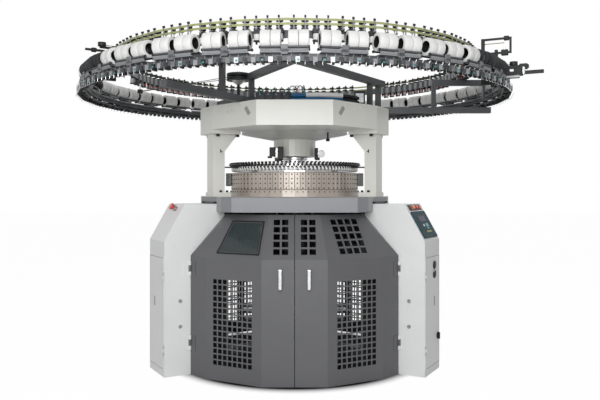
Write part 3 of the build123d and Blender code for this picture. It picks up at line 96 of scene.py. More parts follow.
def recolour(tree, share, colour):
    """Puts a colour over a finish's own wherever a share is 1."""
    shader = tree.nodes["Principled BSDF"]
    under = shader.inputs["Base Color"].links[0].from_socket
    mix = add_node(tree, "Mix", {"Factor": share, "A": under, "B": (*colour, 1)},
                   data_type="RGBA")
    feed(shader, {"Base Color": mix.outputs["Result"]})


# %% [markdown]
# The light is that of a plain studio: one wide lamp over the front, weaker ones from the left,
# from behind and from above, and an even white surround. What the camera, mirrors and glass see
# of the surround is pure white, whatever its strength as a lamp, so metal and glass show a white
# room.

# %% Lamps and surround
def wide_lamp(name, place, aim, size, power):
    """A square lamp at a place, turned to look at a point."""
    bpy.ops.object.light_add(type="AREA", location=place)
    lamp = bpy.context.object
    lamp.name = name
    lamp.data.size = size
    lamp.data.energy = power
    lamp.rotation_euler = (Vector(aim) - Vector(place)).to_track_quat("-Z", "Y").to_euler()


wide_lamp("front_lamp", (-0.4, -6.0, 2.6), (0, 0, 1.2), 3.0, 212)
wide_lamp("left_lamp", (-5.0, -3.2, 2.6), (0, 0, 1.0), 3.0, 12)
wide_lamp("rear_lamp", (0.5, 5.5, 3.4), (0, 0, 1.0), 3.0, 40)
wide_lamp("top_lamp", (0, 0.5, 5.5), (0, 0, 1.2), 4.0, 45)

white, ambient_strength = (1, 1, 1, 1), 0.26
world = bpy.data.worlds.new("surround")
bpy.context.scene.world = world
world.use_nodes = True
tree = world.node_tree
tree.nodes.clear()
rays = add_node(tree, "LightPath").outputs
seen = compute(tree, "MAXIMUM", rays["Is Camera Ray"], rays["Is Glossy Ray"])
seen = compute(tree, "MAXIMUM", seen, rays["Is Transmission Ray"])
ambient = add_node(tree, "Background", {"Color": white, "Strength": ambient_strength})
backdrop = add_node(tree, "Background", {"Color": white, "Strength": 1.0})
either = add_node(tree, "MixShader", {0: seen, 1: ambient.outputs[0], 2: backdrop.outputs[0]})
add_node(tree, "OutputWorld", {"Surface": either.outputs[0]})
bpy.context.scene.view_settings.view_transform = "Standard"
print("lamps and surround ready")

# %% [markdown]
# A finish is a material whose colour, roughness and surface are worked out from the place on the
# piece. A large soft noise makes the colour and the shine uneven, as on any real surface, and a
# fine one raises the grain. Brushed metal stretches both.

# %% Finishes
def finish(name, colour, rough, metal=0.0, uneven=0.06, patch=6.0, grain=0.08, fine=900.0,
           stretch=(1, 1, 1), coat=0.0, specular=0.5):
    """A material with an uneven colour, an uneven shine and a fine raised grain."""
    shine_spread, grain_depth = 0.06, 0.001
    material = bpy.data.materials.new(name)
    material.use_nodes = True
    tree = material.node_tree
    place = add_node(tree, "TexCoord").outputs["Object"]
    spread = add_node(tree, "Mapping", {"Scale": stretch, "Vector": place}).outputs[0]
    cloud = add_node(tree, "TexNoise", {"Scale": patch, "Detail": 5, "Vector": spread})
    cloud = cloud.outputs["Fac"]
    tones = add_node(tree, "ValToRGB", {0: cloud})
    for number, (position, factor) in enumerate(((0.3, 1 - uneven), (0.7, 1 + uneven))):
        tones.color_ramp.elements[number].position = position
        tones.color_ramp.elements[number].color = (*[min(1, c * factor) for c in colour], 1)
    gloss = add_node(tree, "MapRange", {"Value": cloud, "To Min": rough - shine_spread,
                                        "To Max": rough + shine_spread})
    speck = add_node(tree, "TexNoise", {"Scale": fine, "Detail": 2, "Vector": spread})
    bump = add_node(tree, "Bump", {"Strength": grain, "Distance": grain_depth,
                                   "Height": speck.outputs["Fac"]})
    feed(tree.nodes["Principled BSDF"], {
        "Base Color": tones.outputs[0], "Roughness": gloss.outputs[0], "Metallic": metal,
        "Coat Weight": coat, "Coat Roughness": 0.15, "Specular IOR Level": specular,
        "Normal": bump.outputs[0],
    })
    return material


cover_coat = finish("cover_powder_coat", (0.73, 0.735, 0.735), 0.42, uneven=0.02, coat=0.1)
casting_coat = finish("casting_paint", (0.70, 0.70, 0.655), 0.38, uneven=0.03, coat=0.25, fine=260)
door_coat = finish("door_powder_coat", (0.105, 0.106, 0.112), 0.45, uneven=0.05, patch=2.5)
skirt_coat = finish("skirt_paint", (0.20, 0.207, 0.22), 0.4, uneven=0.03, coat=0.2)
bright_steel = finish("bright_steel", (0.62, 0.62, 0.63), 0.28, metal=1.0, grain=0.1,
                      stretch=(1, 1, 12), fine=300)
dull_steel = finish("dull_steel", (0.34, 0.35, 0.36), 0.42, metal=0.9, uneven=0.15, patch=20)
ring_steel = finish("ring_paint", (0.075, 0.08, 0.085), 0.48, metal=0.2, uneven=0.15)
cam_steel = finish("ground_cam_steel", (0.44, 0.39, 0.345), 0.36, metal=0.35, uneven=0.10,
                   patch=14, stretch=(1, 1, 0.4), fine=500)
seam_dark = finish("seam_dark", (0.05, 0.045, 0.04), 0.6, uneven=0.2)
black_plastic = finish("black_plastic", (0.014, 0.015, 0.016), 0.45, uneven=0.2, fine=1400,
                       specular=0.25)
dark_plastic = finish("dark_plastic", (0.035, 0.037, 0.040), 0.5, uneven=0.2, patch=25,
                      specular=0.3)
grey_plastic = finish("grey_plastic", (0.26, 0.27, 0.28), 0.45, uneven=0.08, patch=12)
# A darker grey that paints the shade of the crown's slanting front facets.
painted_shade_grey = finish("crown_facet_painted_shade", (0.30, 0.30, 0.28), 0.45, uneven=0.05)
housing_grey = finish("housing_grey", (0.14, 0.145, 0.15), 0.45, uneven=0.1, patch=12)
blue_hose = finish("blue_hose", (0.015, 0.11, 0.24), 0.4, uneven=0.2, patch=30, coat=0.2)
white_thread = finish("wound_white_yarn", (0.74, 0.74, 0.73), 0.55, uneven=0.03, patch=9,
                      grain=0.25, fine=1100)
white_ceramic = finish("white_ceramic", (0.80, 0.80, 0.78), 0.22, uneven=0.03)
belt_rubber = finish("belt_rubber", (0.36, 0.38, 0.16), 0.6, uneven=0.12, patch=18)
red_lamp = finish("red_lamp", (0.42, 0.02, 0.02), 0.3, uneven=0.15, coat=0.4)
teal_plastic = finish("teal_plastic", (0.03, 0.20, 0.22), 0.35, uneven=0.15, coat=0.3)
panel_face = finish("panel_film", (0.012, 0.042, 0.055), 0.5, uneven=0.06, specular=0.15)
screen_face = finish("screen_film", (0.010, 0.014, 0.060), 0.3, uneven=0.05, specular=0.2)
red_plastic = finish("red_plastic", (0.52, 0.022, 0.015), 0.3, uneven=0.05, coat=0.5)
amber_plastic = finish("amber_plastic", (0.72, 0.20, 0.02), 0.3, uneven=0.05, coat=0.5)
key_plastic = finish("key_plastic", (0.10, 0.45, 0.50), 0.4, uneven=0.06)
roller_rubber = finish("roller_rubber", (0.03, 0.03, 0.032), 0.65, uneven=0.15, fine=500)
window_clear = finish("window_pane", (0.10, 0.13, 0.13), 0.06, uneven=0.02, grain=0.0)
feed(window_clear.node_tree.nodes["Principled BSDF"], {"Transmission Weight": 0.6, "IOR": 1.3})
print("finishes", len(bpy.data.materials))

# %% [markdown]
# Each part of the solid model gets the finish of the real one. The bed plate is painted only on
# its rim, while its top is ground metal, so its finish looks at which way the surface faces. The
# leg covers are light outside; inside and behind the line of the guard doors, where shade falls,
# they are painted near black as painted shade. The hoses on the crown are blue and pale along the
# stretch between their black ends.

# %% Finishes of the solid model
bed_finish = skirt_coat.copy()
bed_finish.name = "bed_plate_finish"
tree = bed_finish.node_tree
facing = add_node(tree, "SeparateXYZ", {0: add_node(tree, "TexCoord").outputs["Normal"]})
recolour(tree, compute(tree, "GREATER_THAN", facing.outputs["Z"], 0.9), (0.50, 0.49, 0.47))

door_line_reach, door_crease_height, door_slope = 0.826, 0.757, 0.934


def cover_paint_with_painted_shade(name, direction):
    """Cover paint, with near black painted shade inside and behind the line of the guard doors."""
    material = cover_coat.copy()
    material.name = name
    tree = material.node_tree
    a = radians(direction)
    sideways, outwards, upwards = (-sin(a), cos(a), 0), (cos(a), sin(a), 0), (0, 0, 1)
    here = add_node(tree, "TexCoord").outputs

    def share_of(output, axis):
        """How far the place or the normal goes along an axis."""
        return add_node(tree, "VectorMath", {0: here[output], 1: axis},
                        operation="DOT_PRODUCT").outputs["Value"]

    side = compute(tree, "MULTIPLY", share_of("Object", sideways), share_of("Normal", sideways))
    above_crease = compute(tree, "SUBTRACT", share_of("Object", upwards), door_crease_height)
    above_crease = compute(tree, "MAXIMUM", above_crease, 0.0)
    door_line = compute(tree, "ADD", compute(tree, "MULTIPLY", above_crease, door_slope),
                        share_of("Object", outwards))
    painted_shade_share = compute(tree, "LESS_THAN", side, -0.05)
    for value, limit in ((share_of("Normal", outwards), -0.5), (share_of("Normal", upwards), -0.5),
                         (door_line, door_line_reach)):
        painted_shade_share = compute(tree, "MAXIMUM", painted_shade_share, compute(tree, "LESS_THAN", value, limit))
    # Painted shade: faces looking inwards or down, and walls behind the guard doors' line, go near
    # black.
    recolour(tree, painted_shade_share, (0.02, 0.02, 0.021))
    return material


loom_finish = black_plastic.copy()
loom_finish.name = "loom_finish"
tree = loom_finish.node_tree
place = add_node(tree, "SeparateXYZ", {0: add_node(tree, "TexCoord").outputs["Object"]}).outputs
hose_start, hose_end, pale_start, pale_height = -0.019, 0.30, 0.07, 1.7355
hose_stretch = compute(tree, "MULTIPLY", compute(tree, "GREATER_THAN", place["X"], hose_start),
                       compute(tree, "LESS_THAN", place["X"], hose_end))
pale_stretch = compute(tree, "MULTIPLY", compute(tree, "GREATER_THAN", place["Z"], pale_height),
                       compute(tree, "GREATER_THAN", place["X"], pale_start))
pale_stretch = compute(tree, "MULTIPLY", hose_stretch, pale_stretch)
recolour(tree, hose_stretch, (0.015, 0.11, 0.24))
recolour(tree, pale_stretch, (0.7, 0.7, 0.7))

finish_groups = (
    (bed_finish, "bed_plate"),
    (casting_coat, "columns crown hub"),
    (cover_paint_with_painted_shade("cover_left_paint_and_shade", 210), "cover_left"),
    (cover_paint_with_painted_shade("cover_right_paint_and_shade", 330), "cover_right"),
    (cover_paint_with_painted_shade("cover_rear_paint_and_shade", 90), "cover_rear"),
    (cover_coat, "cabinet_door_left cabinet_door_right door_hinge_brackets"),
    (door_coat, "door_left door_right rear_guards hinge_leaf_left hinge_leaf_right"),
    (window_clear, "door_window"),
    (bright_steel, "door_handle_left door_handle_right cabinet_hinges dial dial_cam_ring"),
    (bright_steel, "needle_cylinder"),
    (dull_steel, "cover_fittings cylinder_gear quality_bearing batch_roller drive_shaft"),
    (cam_steel, "cam_base_ring"),
    (seam_dark, "cam_ring"),
    (ring_steel, "legs machine_base ring_arms ring_beams outer_rail guide_strip inner_rail"),
    (ring_steel, "spool_rollers drive_motor"),
    (black_plastic, "yarn_guide_ring tension_arms tension_pulley_left tension_pulley_right"),
    (black_plastic, "quality_wheel main_switch_knob"),
    (dark_plastic, "storage_feeders takedown_frame"),
    (grey_plastic, "spool_brackets"),
    (white_thread, "elastane_spools"),
    (white_ceramic, "yarn_guides"),
    (belt_rubber, "feeder_belts"),
    (roller_rubber, "takedown_roller_front takedown_roller_rear takedown_roller_upper"),
    (panel_face, "control_panel control_screen"),
    (amber_plastic, "start_button"),
    (red_plastic, "inch_button stop_button emergency_stop"),
    (loom_finish, "hose_loom"),
)
node_finish = {name: coat for coat, names in finish_groups for name in names.split()}
for name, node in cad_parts.items():
    node.data.materials.clear()
    node.data.materials.append(node_finish[name])
print("nodes with a finish", len(node_finish))

# %% [markdown]
# Modelling goes through the same few moves again and again, so they are kept as short helpers:
# a block whose edges may be softened, a rod between two points, faces picked by where they are,
# parts set out round the machine, and a finished piece that is given its body.

# %% Helpers for modelling
def clear_selection():
    """Leaves edit mode and selects nothing, so that the next operator acts on its own piece."""
    if bpy.context.mode != "OBJECT":
        bpy.ops.object.mode_set(mode="OBJECT")
    bpy.ops.object.select_all(action="DESELECT")


def take(piece):
    """Makes one piece the only selected and the active one."""
    clear_selection()
    piece.select_set(True)
    bpy.context.view_layer.objects.active = piece


def settle(piece):
    """Moves a piece's place, turn and scale into its mesh."""
    take(piece)
    bpy.ops.object.transform_apply(location=True, rotation=True, scale=True)
    return piece


def soften(piece, width, steps=1):
    """Bevels every edge of a piece."""
    take(piece)
    bpy.ops.object.mode_set(mode="EDIT")
    bpy.ops.mesh.select_all(action="SELECT")
    bpy.ops.mesh.bevel(offset=width, segments=steps, affect="EDGES")
    bpy.ops.object.mode_set(mode="OBJECT")
    return piece


def block(centre, size, material, edge=0.0, turn=(0, 0, 0), steps=1):
    """A block; edge is the width by which its edges are softened, turn is in degrees."""
    clear_selection()
    bpy.ops.mesh.primitive_cube_add(
        size=1, location=centre, rotation=[radians(a) for a in turn], scale=size
    )
    piece = settle(bpy.context.object)
    piece.data.materials.append(material)
    if edge:
        soften(piece, edge, steps)
    return piece


def rod(start, end, radius, material, sides=12, edge=0.0, end_radius=None):
    """A round bar or a cone between two points."""
    start, end = Vector(start), Vector(end)
    along = end - start
    clear_selection()
    bpy.ops.mesh.primitive_cone_add(
        vertices=sides,
        radius1=radius,
        radius2=radius if end_radius is None else end_radius,
        depth=along.length,
        location=(start + end) / 2,
        rotation=along.to_track_quat("Z", "Y").to_euler(),
    )
    piece = settle(bpy.context.object)
    piece.data.materials.append(material)
    if edge:
        pick_edges(piece, lambda middle: True, sharp=60)
        bpy.ops.mesh.bevel(offset=edge, segments=2, affect="EDGES")
        bpy.ops.object.mode_set(mode="OBJECT")
    take(piece)
    bpy.ops.object.shade_smooth_by_angle(angle=radians(40))
    return piece


def pin(x, y, start, end, radius, material, **shape):
    """A rod that stands upright between two heights."""
    return rod((x, y, start), (x, y, end), radius, material, **shape)


def spot(direction, radial, lateral, height):
    """A point at a distance along a direction, a distance square to it and a height."""
    a = radians(direction)
    return Vector((radial * cos(a) - lateral * sin(a), radial * sin(a) + lateral * cos(a), height))


def turned_block(direction, place, size, material, edge=0.0, lean=0):
    """A block that faces a direction. Its place is given as for a spot."""
    return block(spot(direction, *place), size, material, edge, turn=(lean, 0, direction))


def pick_faces(piece, test):
    """Selects the faces whose middle and normal pass a test, and stays in edit mode."""
    take(piece)
    bpy.ops.object.mode_set(mode="EDIT")
    bpy.ops.mesh.select_mode(type="FACE")
    bpy.ops.mesh.select_all(action="DESELECT")
    bpy.ops.object.mode_set(mode="OBJECT")
    for face in piece.data.polygons:
        face.select = bool(test(face.center, face.normal))
    bpy.ops.object.mode_set(mode="EDIT")


def pick_edges(piece, test, sharp):
    """Selects the sharp edges whose middle passes a test, and stays in edit mode."""
    take(piece)
    bpy.ops.object.mode_set(mode="EDIT")
    bpy.ops.mesh.select_mode(type="EDGE")
    bpy.ops.mesh.select_all(action="DESELECT")
    bpy.ops.mesh.edges_select_sharp(sharpness=radians(sharp))
    bpy.ops.object.mode_set(mode="OBJECT")
    mesh = piece.data
    for edge in mesh.edges:
        if edge.select:
            a, b = [mesh.vertices[i].co for i in edge.vertices]
            edge.select = bool(test((a + b) / 2))
    bpy.ops.object.mode_set(mode="EDIT")


def join(pieces, name):
    """Makes one piece of several."""
    clear_selection()
    for piece in pieces:
        piece.select_set(True)
    bpy.context.view_layer.objects.active = pieces[0]
    if len(pieces) > 1:
        bpy.ops.object.join()
    joined = bpy.context.view_layer.objects.active
    joined.name = name
    joined.data.name = name
    return settle(joined)


def round_ring(directions, shifts=(0,)):
    """Places round the axis: each direction with each side shift."""
    return [(direction, shift) for direction in directions for shift in shifts]


def set_out(parts, places, name):
    """Joins parts made at direction 0, and copies them to places round the axis."""
    pattern = join(parts, name + "_pattern")
    copies = []
    for direction, shift in places:
        copy = pattern.copy()
        copy.data = pattern.data.copy()
        bpy.context.collection.objects.link(copy)
        copy.matrix_world = Matrix.Rotation(radians(direction), 4, "Z") @ Matrix.Translation(
            (0, shift, 0)
        )
        copies.append(copy)
    bpy.data.objects.remove(pattern)
    return join(copies, name)


def hand_over(piece, body="frame", stands_for=()):
    """Gives a finished piece its body, hides the nodes it stands for and prints its triangles."""
    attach(piece, body)
    if stands_for:
        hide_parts(*stands_for)
    triangles = sum(len(face.vertices) - 2 for face in piece.data.polygons)
    print(piece.name, "triangles", triangles)


# %% [markdown]
# The elastane spools are white wound yarn on a dark tube. Each is a drum with a wide bore, and
# its rims are rounded where the yarn is wound. It is made once from a drum: the end faces are
# inset, the two inner faces are bridged into a bore, and the rims are bevelled. A dark tube
# lines the bore. The spools lie in pairs on two rollers, so the pair is copied round the ring.

# %% Elastane spools
first_length, length_pitch, length_count = 268, 12, 30
device_directions = [first_length + length_pitch * number for number in range(length_count)]
pair_shift = 0.070
empty_places = [
    (220, -1), (208, -1), (208, 1), (196, -1), (184, -1), (184, 1),
    (316, 1), (328, -1), (328, 1), (340, -1), (340, 1), (352, -1), (352, 1),
]
device_reach = 1.400
spool_radius, spool_width, spool_gap = 0.048, 0.051, 0.0015
spool_middle = Vector((device_reach, 0, 1.912))


def tube(radius, width, wall, shift, material):
    """A tube whose axis runs along Y, at a side shift from the middle of the pair."""
    clear_selection()
    bpy.ops.mesh.primitive_cylinder_add(
        vertices=28,
        radius=radius,
        depth=width,
        location=spool_middle + Vector((0, shift, 0)),
        rotation=(radians(90), 0, 0),
    )
    piece = settle(bpy.context.object)
    piece.data.materials.append(material)
    pick_faces(piece, lambda middle, normal: abs(normal.y) > 0.9)
    bpy.ops.mesh.inset(thickness=wall, use_individual=True)
    bpy.ops.mesh.bridge_edge_loops()
    bpy.ops.object.mode_set(mode="OBJECT")
    return piece


def spool(shift):
    """One drum of yarn with rounded rims, and the dark tube that lines its bore."""
    rim_reach = 0.043
    drum = tube(spool_radius, spool_width, spool_radius * 0.36, shift, white_thread)
    pick_edges(
        drum,
        lambda middle: hypot(middle.x - spool_middle.x, middle.z - spool_middle.z) > rim_reach,
        sharp=60,
    )
    bpy.ops.mesh.bevel(offset=0.005, segments=2, affect="EDGES")
    take(drum)
    bpy.ops.object.shade_smooth_by_angle(angle=radians(40))
    return [drum, tube(spool_radius * 0.645, spool_width - 0.004, 0.003, shift, black_plastic)]


half_shift = (spool_width + spool_gap) / 2
full_places = [
    (direction, side * pair_shift)
    for direction in device_directions for side in (-1, 1)
    if (direction % 360, side) not in empty_places
]
spools = set_out(spool(-half_shift) + spool(half_shift), full_places, "white_spools")
hand_over(spools, stands_for=["elastane_spools"])

# %% [markdown]
# On the lengths at the far left and right the spools have run down. There the dark end discs of
# their tubes stand on the rollers in the same place, with only a little yarn left between them.

# %% Spent spools
def axle(start, end, radius, material, sides):
    """A rod on the axis of a pair of spools, between two side shifts."""
    return rod(spool_middle + Vector((0, start, 0)), spool_middle + Vector((0, end, 0)), radius,
               material, sides=sides)


disc_half, disc_radius = 0.0012, 0.0475
spent_parts = [
    axle(-0.0505, 0.0505, 0.021, black_plastic, 12),
    axle(-0.036, 0.030, 0.027, grey_plastic, 14),
]
for shift in (-0.0500, -0.0020, 0.0020, 0.0500):
    spent_parts.append(axle(shift - disc_half, shift + disc_half, disc_radius, dark_plastic, 20))
spent = set_out(spent_parts, [(d, side * pair_shift) for d, side in empty_places], "spent_spools")
hand_over(spent)

# %% [markdown]
# Under every two pairs of spools lie two thin rollers with black ends, on a grey housing. The
# housing is a rounded block in the middle, with a lip that shows between the pairs, a flat shelf
# under the rollers and two slanting strips at the front.

# %% Spool rollers and housings
roller_radius, roller_offset, roller_height, roller_half = 0.0058, 0.0319, 1.868, 0.126
end_half, end_radius = 0.003, 0.0075
housing_parts = [
    block((device_reach, 0, 1.8505), (0.092, 0.036, 0.020), housing_grey, 0.004, steps=2),
    block((1.443, 0, 1.854), (0.006, 0.036, 0.050), housing_grey, 0.002),
    block((1.436, 0, 1.845), (0.020, 0.036, 0.009), housing_grey, 0.002),
    block((1.402, 0, 1.8415), (0.080, 0.244, 0.003), grey_plastic),
]
for side in (-1, 1):
    housing_parts.append(block((1.437, side * pair_shift, 1.851), (0.003, 0.098, 0.017),
                               grey_plastic, turn=(0, 25, 0)))
for side in (-1, 1):
    x = device_reach + side * roller_offset
    housing_parts.append(rod((x, -roller_half, roller_height), (x, roller_half, roller_height),
                             roller_radius, ring_steel, sides=10))
    for y in (-0.1225, 0.1225):
        housing_parts.append(rod((x, y - end_half, roller_height), (x, y + end_half, roller_height),
                                 end_radius, black_plastic, sides=10))
housings = set_out(housing_parts, round_ring(device_directions), "roller_housings")
hand_over(housings, stands_for=["spool_brackets", "spool_rollers"])

# %% [markdown]
# The cam ring stands round the needle cylinder. It is built of narrow steel plates, each held by
# four screws, so that the cams behind them can be changed one by one. The solid ring behind shows
# as the dark seam between two plates. One plate is made with its screws and set out round it.

# %% Cam plates
plate_count = 78
plate_pitch = 360 / plate_count
cam_low, cam_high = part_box("cam_base_ring")[1][2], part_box("cam_ring")[1][2]
cam_face = 0.440
plate_width = 2 * cam_face * sin(radians(plate_pitch / 2)) - 0.0022
plate_height = cam_high - cam_low - 0.006
plate_middle = (cam_high + cam_low) / 2
plate_parts = [block((cam_face - 0.001, 0, plate_middle), (0.008, plate_width, plate_height),
                     cam_steel, 0.0008)]
for share in (0.13, 0.38, 0.63, 0.90):
    height = cam_high - share * (cam_high - cam_low)
    plate_parts.append(rod((cam_face, 0, height), (cam_face + 0.0045, 0, height), 0.0052,
                           seam_dark, sides=8))
plate_directions = [90 + plate_pitch * (number + 0.5) for number in range(plate_count)]
plates = set_out(plate_parts, round_ring(plate_directions), "cam_plates")
hand_over(plates)

# %% [markdown]
# Below the plates runs the cylinder's cam base, a light ring with one small bolt under each
# plate. On either side of the machine a ridged block stands on the cam ring.

# %% Bolts of the cam base and side blocks
base_face, bolt_height = 0.452, cam_low - 0.012
bolt = rod((base_face - 0.004, 0, bolt_height), (base_face + 0.002, 0, bolt_height), 0.004,
           seam_dark, sides=8)
base_bolts = set_out([bolt], round_ring(plate_directions), "cam_base_bolts")
hand_over(base_bolts)
ridge_middle, ridge_length = 1.237, 0.084
ridge_parts = []
for number in range(9):
    y = -0.040 + 0.010 * number
    ridge_parts.append(block((0.479, y, ridge_middle), (0.004, 0.005, ridge_length), dull_steel,
                             0.001))
for number in range(4):
    x = 0.448 + 0.008 * number
    for y in (-0.046, 0.046):
        ridge_parts.append(block((x, y, ridge_middle), (0.004, 0.004, ridge_length), dull_steel,
                                 0.001))
ridges = set_out(ridge_parts, round_ring((0, 180)), "side_block_ridges")
hand_over(ridges)

# %% [markdown]
# A white ceramic guide leads each yarn to the needles. It leans sideways and is held by a black
# clamp on the guide ring. There are as many guides as storage feeders.

# %% Yarn guides
guide_count = 104
guide_parts = [
    block((0.440, 0, 1.311), (0.007, 0.013, 0.030), white_ceramic, 0.002, turn=(22, 0, 0)),
    block((0.436, 0.004, 1.298), (0.010, 0.009, 0.009), white_ceramic, 0.002),
    block((0.446, -0.003, 1.333), (0.015, 0.013, 0.024), black_plastic, 0.0015, turn=(-12, 0, 0)),
    block((0.454, 0.002, 1.346), (0.007, 0.017, 0.008), black_plastic, 0.0015),
    rod((0.430, 0, 1.330), (0.462, 0, 1.337), 0.0028, dull_steel, sides=8),
]
guide_directions = [360 / guide_count * number for number in range(guide_count)]
guides = set_out(guide_parts, round_ring(guide_directions), "ceramic_guides")
hand_over(guides, stands_for=["yarn_guides"])

# %% [markdown]
# The needle cylinder is ground steel with a needle in each fine groove. The hooks that stand up
# round its rim are far too many to model one by one, so a smaller number of thin upright pins
# stands for them.

# %% Needle hooks
needle_count, needle_reach = 240, 0.3715
needle = pin(needle_reach, 0, 1.290, 1.303, 0.0011, bright_steel, sides=5)
needle_directions = [360 / needle_count * number for number in range(needle_count)]
needle_ring = set_out([needle], round_ring(needle_directions), "needle_hooks")
hand_over(needle_ring, body="cylinder")

# %% [markdown]
# The columns carry the crown. Black screws stand in each column's foot and hang under each ear of
# the crown. Small black clips sit on the column's sides.

# %% Column screws and clips
leg_directions = (210, 330, 90)
screw_parts = []
for reach in (0.480, 0.620):
    for y in (-0.080, 0.080):
        screw_parts.append(pin(reach, y, 1.514, 1.530, 0.012, black_plastic, sides=14, edge=0.001))
for reach, shift in ((0.540, 0.045), (0.590, 0.0575)):
    for y in (-shift, shift):
        screw_parts.append(pin(reach, y, 1.150, 1.163, 0.009, black_plastic, sides=14, edge=0.001))
for y in (-0.0525, 0.0525):
    screw_parts.append(block((0.589, y, 1.420), (0.005, 0.006, 0.022), black_plastic, 0.001))
    screw_parts.append(block((0.584, y, 1.417), (0.014, 0.005, 0.005), black_plastic, 0.001))
column_screws = set_out(screw_parts, round_ring(leg_directions), "column_screws")
hand_over(column_screws)

# %% [markdown]
# Beside each of the crown's two front corners, a slanting facet of the casting lies in shade. A
# thin slanting plate in darker grey lies there on the light paint as painted shade.

# %% Crown facets in painted shade
# Two thin plates of painted shade, one beside each front corner.
shade_patch_parts = [
    block((side * 0.286, -0.663, 1.646), (0.006, 0.026, 0.058), painted_shade_grey, 0.001,
          turn=(-side * 38, 0, 270 + side * 45))
    for side in (-1, 1)
]
crown_shade_patches = join(shade_patch_parts, "crown_painted_shade_patches")
hand_over(crown_shade_patches)

# %% [markdown]
# A bright collar closes the hub below. The setting devices of the dial stand round the hub: dark
# blocks with a bright bar at the front left, and one with a round scale at the right. A black
# knob hangs below the crown's cone.

# %% Hub fittings
scale_height = 1.413
hub_parts = [
    pin(0, 0, 1.374, 1.3968, 0.090, bright_steel, sides=40, edge=0.002),
    block((-0.150, -0.150, 1.425), (0.042, 0.050, 0.062), black_plastic, 0.003),
    block((-0.095, -0.172, 1.415), (0.036, 0.040, 0.088), black_plastic, 0.003),
    block((-0.122, -0.186, 1.418), (0.012, 0.012, 0.060), bright_steel, 0.002),
    block((-0.168, -0.176, 1.388), (0.030, 0.018, 0.014), black_plastic, 0.002),
    block((-0.110, -0.165, 1.372), (0.050, 0.030, 0.022), black_plastic, 0.003),
    block((0.150, -0.090, 1.415), (0.024, 0.050, 0.080), black_plastic, 0.003),
    block((0.158, -0.110, 1.380), (0.030, 0.030, 0.020), black_plastic, 0.003),
    rod((0.182, -0.150, scale_height), (0.182, -0.134, scale_height), 0.024, bright_steel,
        sides=28, edge=0.002),
    rod((0.182, -0.1515, scale_height), (0.182, -0.150, scale_height), 0.019, white_ceramic,
        sides=28),
    rod((0.160, -0.110, scale_height), (0.182, -0.134, scale_height), 0.008, black_plastic),
    pin(0.222, -0.250, 1.5075, 1.552, 0.006, black_plastic),
    pin(0.222, -0.250, 1.490, 1.509, 0.013, black_plastic, sides=16, edge=0.004),
]
hub_fittings = join(hub_parts, "hub_fittings")
hand_over(hub_fittings)

# %% [markdown]
# A storage feeder for each yarn sits on the inner ring. It has a clamp over the rail, a dark body,
# two black wheels that the belts drive, and below them the wheel with its store of yarn. Its lamp
# on the inner side is red. A grey post with a dark tip leads the yarn in. Four feeders stand on
# each straight length of the ring, and four lengths have none.

# %% Storage feeders
bare_lengths = (58, 298, 238, 178)
feeder_directions = [first_length + length_pitch * (number + 0.5) for number in range(length_count)]
feeder_shifts = (-0.090, -0.030, 0.030, 0.090)
rail_reach, post_reach, wheel_axis = 1.150, 1.233, 1.206
feeder_parts = [
    block((rail_reach, 0, 1.995), (0.022, 0.028, 0.046), grey_plastic),
    block((1.187, 0, 2.0025), (0.056, 0.036, 0.033), dark_plastic, 0.003),
    pin(wheel_axis, 0, 2.025, 2.039, 0.0195, black_plastic),
    pin(wheel_axis, 0, 2.049, 2.063, 0.0195, black_plastic),
    pin(wheel_axis, 0, 1.946, 2.066, 0.004, bright_steel, sides=6),
    pin(wheel_axis, 0, 1.951, 1.984, 0.018, white_thread),
    pin(wheel_axis, 0, 1.947, 1.951, 0.021, black_plastic),
    block((1.168, 0.006, 1.974), (0.016, 0.014, 0.024), dark_plastic),
    block((1.166, 0.006, 1.957), (0.011, 0.011, 0.012), red_lamp),
    block((1.176, -0.009, 1.962), (0.006, 0.010, 0.048), black_plastic),
    block((1.222, 0, 2.008), (0.026, 0.008, 0.005), grey_plastic),
    block((post_reach, 0, 2.036), (0.003, 0.007, 0.062), grey_plastic),
    block((1.230, 0, 2.071), (0.014, 0.009, 0.013), black_plastic, turn=(0, 25, 0)),
]
busy_lengths = [d for d in feeder_directions if d % 360 not in bare_lengths]
feeders = set_out(feeder_parts, round_ring(busy_lengths, feeder_shifts), "yarn_feeders")
hand_over(feeders, stands_for=["storage_feeders"])

# %% [markdown]
# Two lengths at the front carry no feeders, only grey posts with dark tips. Each post stands on an
# arm from a clamp on the rail, with a small black block beside it.

# %% Inlet posts
post_parts = [
    block((rail_reach, 0, 1.995), (0.022, 0.020, 0.046), grey_plastic),
    block((1.196, 0, 2.0075), (0.078, 0.010, 0.006), dark_plastic),
    block((post_reach, 0, 2.038), (0.003, 0.007, 0.066), grey_plastic),
    block((1.230, 0, 2.071), (0.014, 0.009, 0.013), black_plastic, turn=(0, 25, 0)),
    block((1.212, 0, 2.044), (0.012, 0.016, 0.030), black_plastic),
    pin(1.212, 0, 2.008, 2.032, 0.004, bright_steel, sides=6),
]
inlet_posts = set_out(post_parts, round_ring((238, 298), feeder_shifts), "inlet_posts")
hand_over(inlet_posts)

# %% [markdown]
# Below the spools the guide strip carries the yarn sensors. They stand close together, so that the
# rail's lower edge looks like a chain of small silver, black and teal parts with thin hooks.

# %% Yarn sensors
def sensor(shift, body, teal):
    """One yarn sensor under the guide strip, at a side shift."""
    hook = shift - 0.007
    parts = [
        block((1.447, shift, 1.803), (0.018, 0.022, 0.026), body),
        block((1.440, shift + 0.004, 1.787), (0.024, 0.012, 0.012), black_plastic),
        pin(1.455, hook, 1.797, 1.776, 0.0013, bright_steel, sides=5),
        rod((1.455, hook, 1.777), (1.464, shift - 0.004, 1.772), 0.0013, bright_steel, sides=5),
        rod((1.452, shift + 0.009, 1.812), (1.459, shift + 0.013, 1.829), 0.0012, bright_steel,
            sides=5),
    ]
    if teal:
        parts.append(block((1.457, shift + 0.002, 1.801), (0.005, 0.012, 0.009), teal_plastic))
    return parts


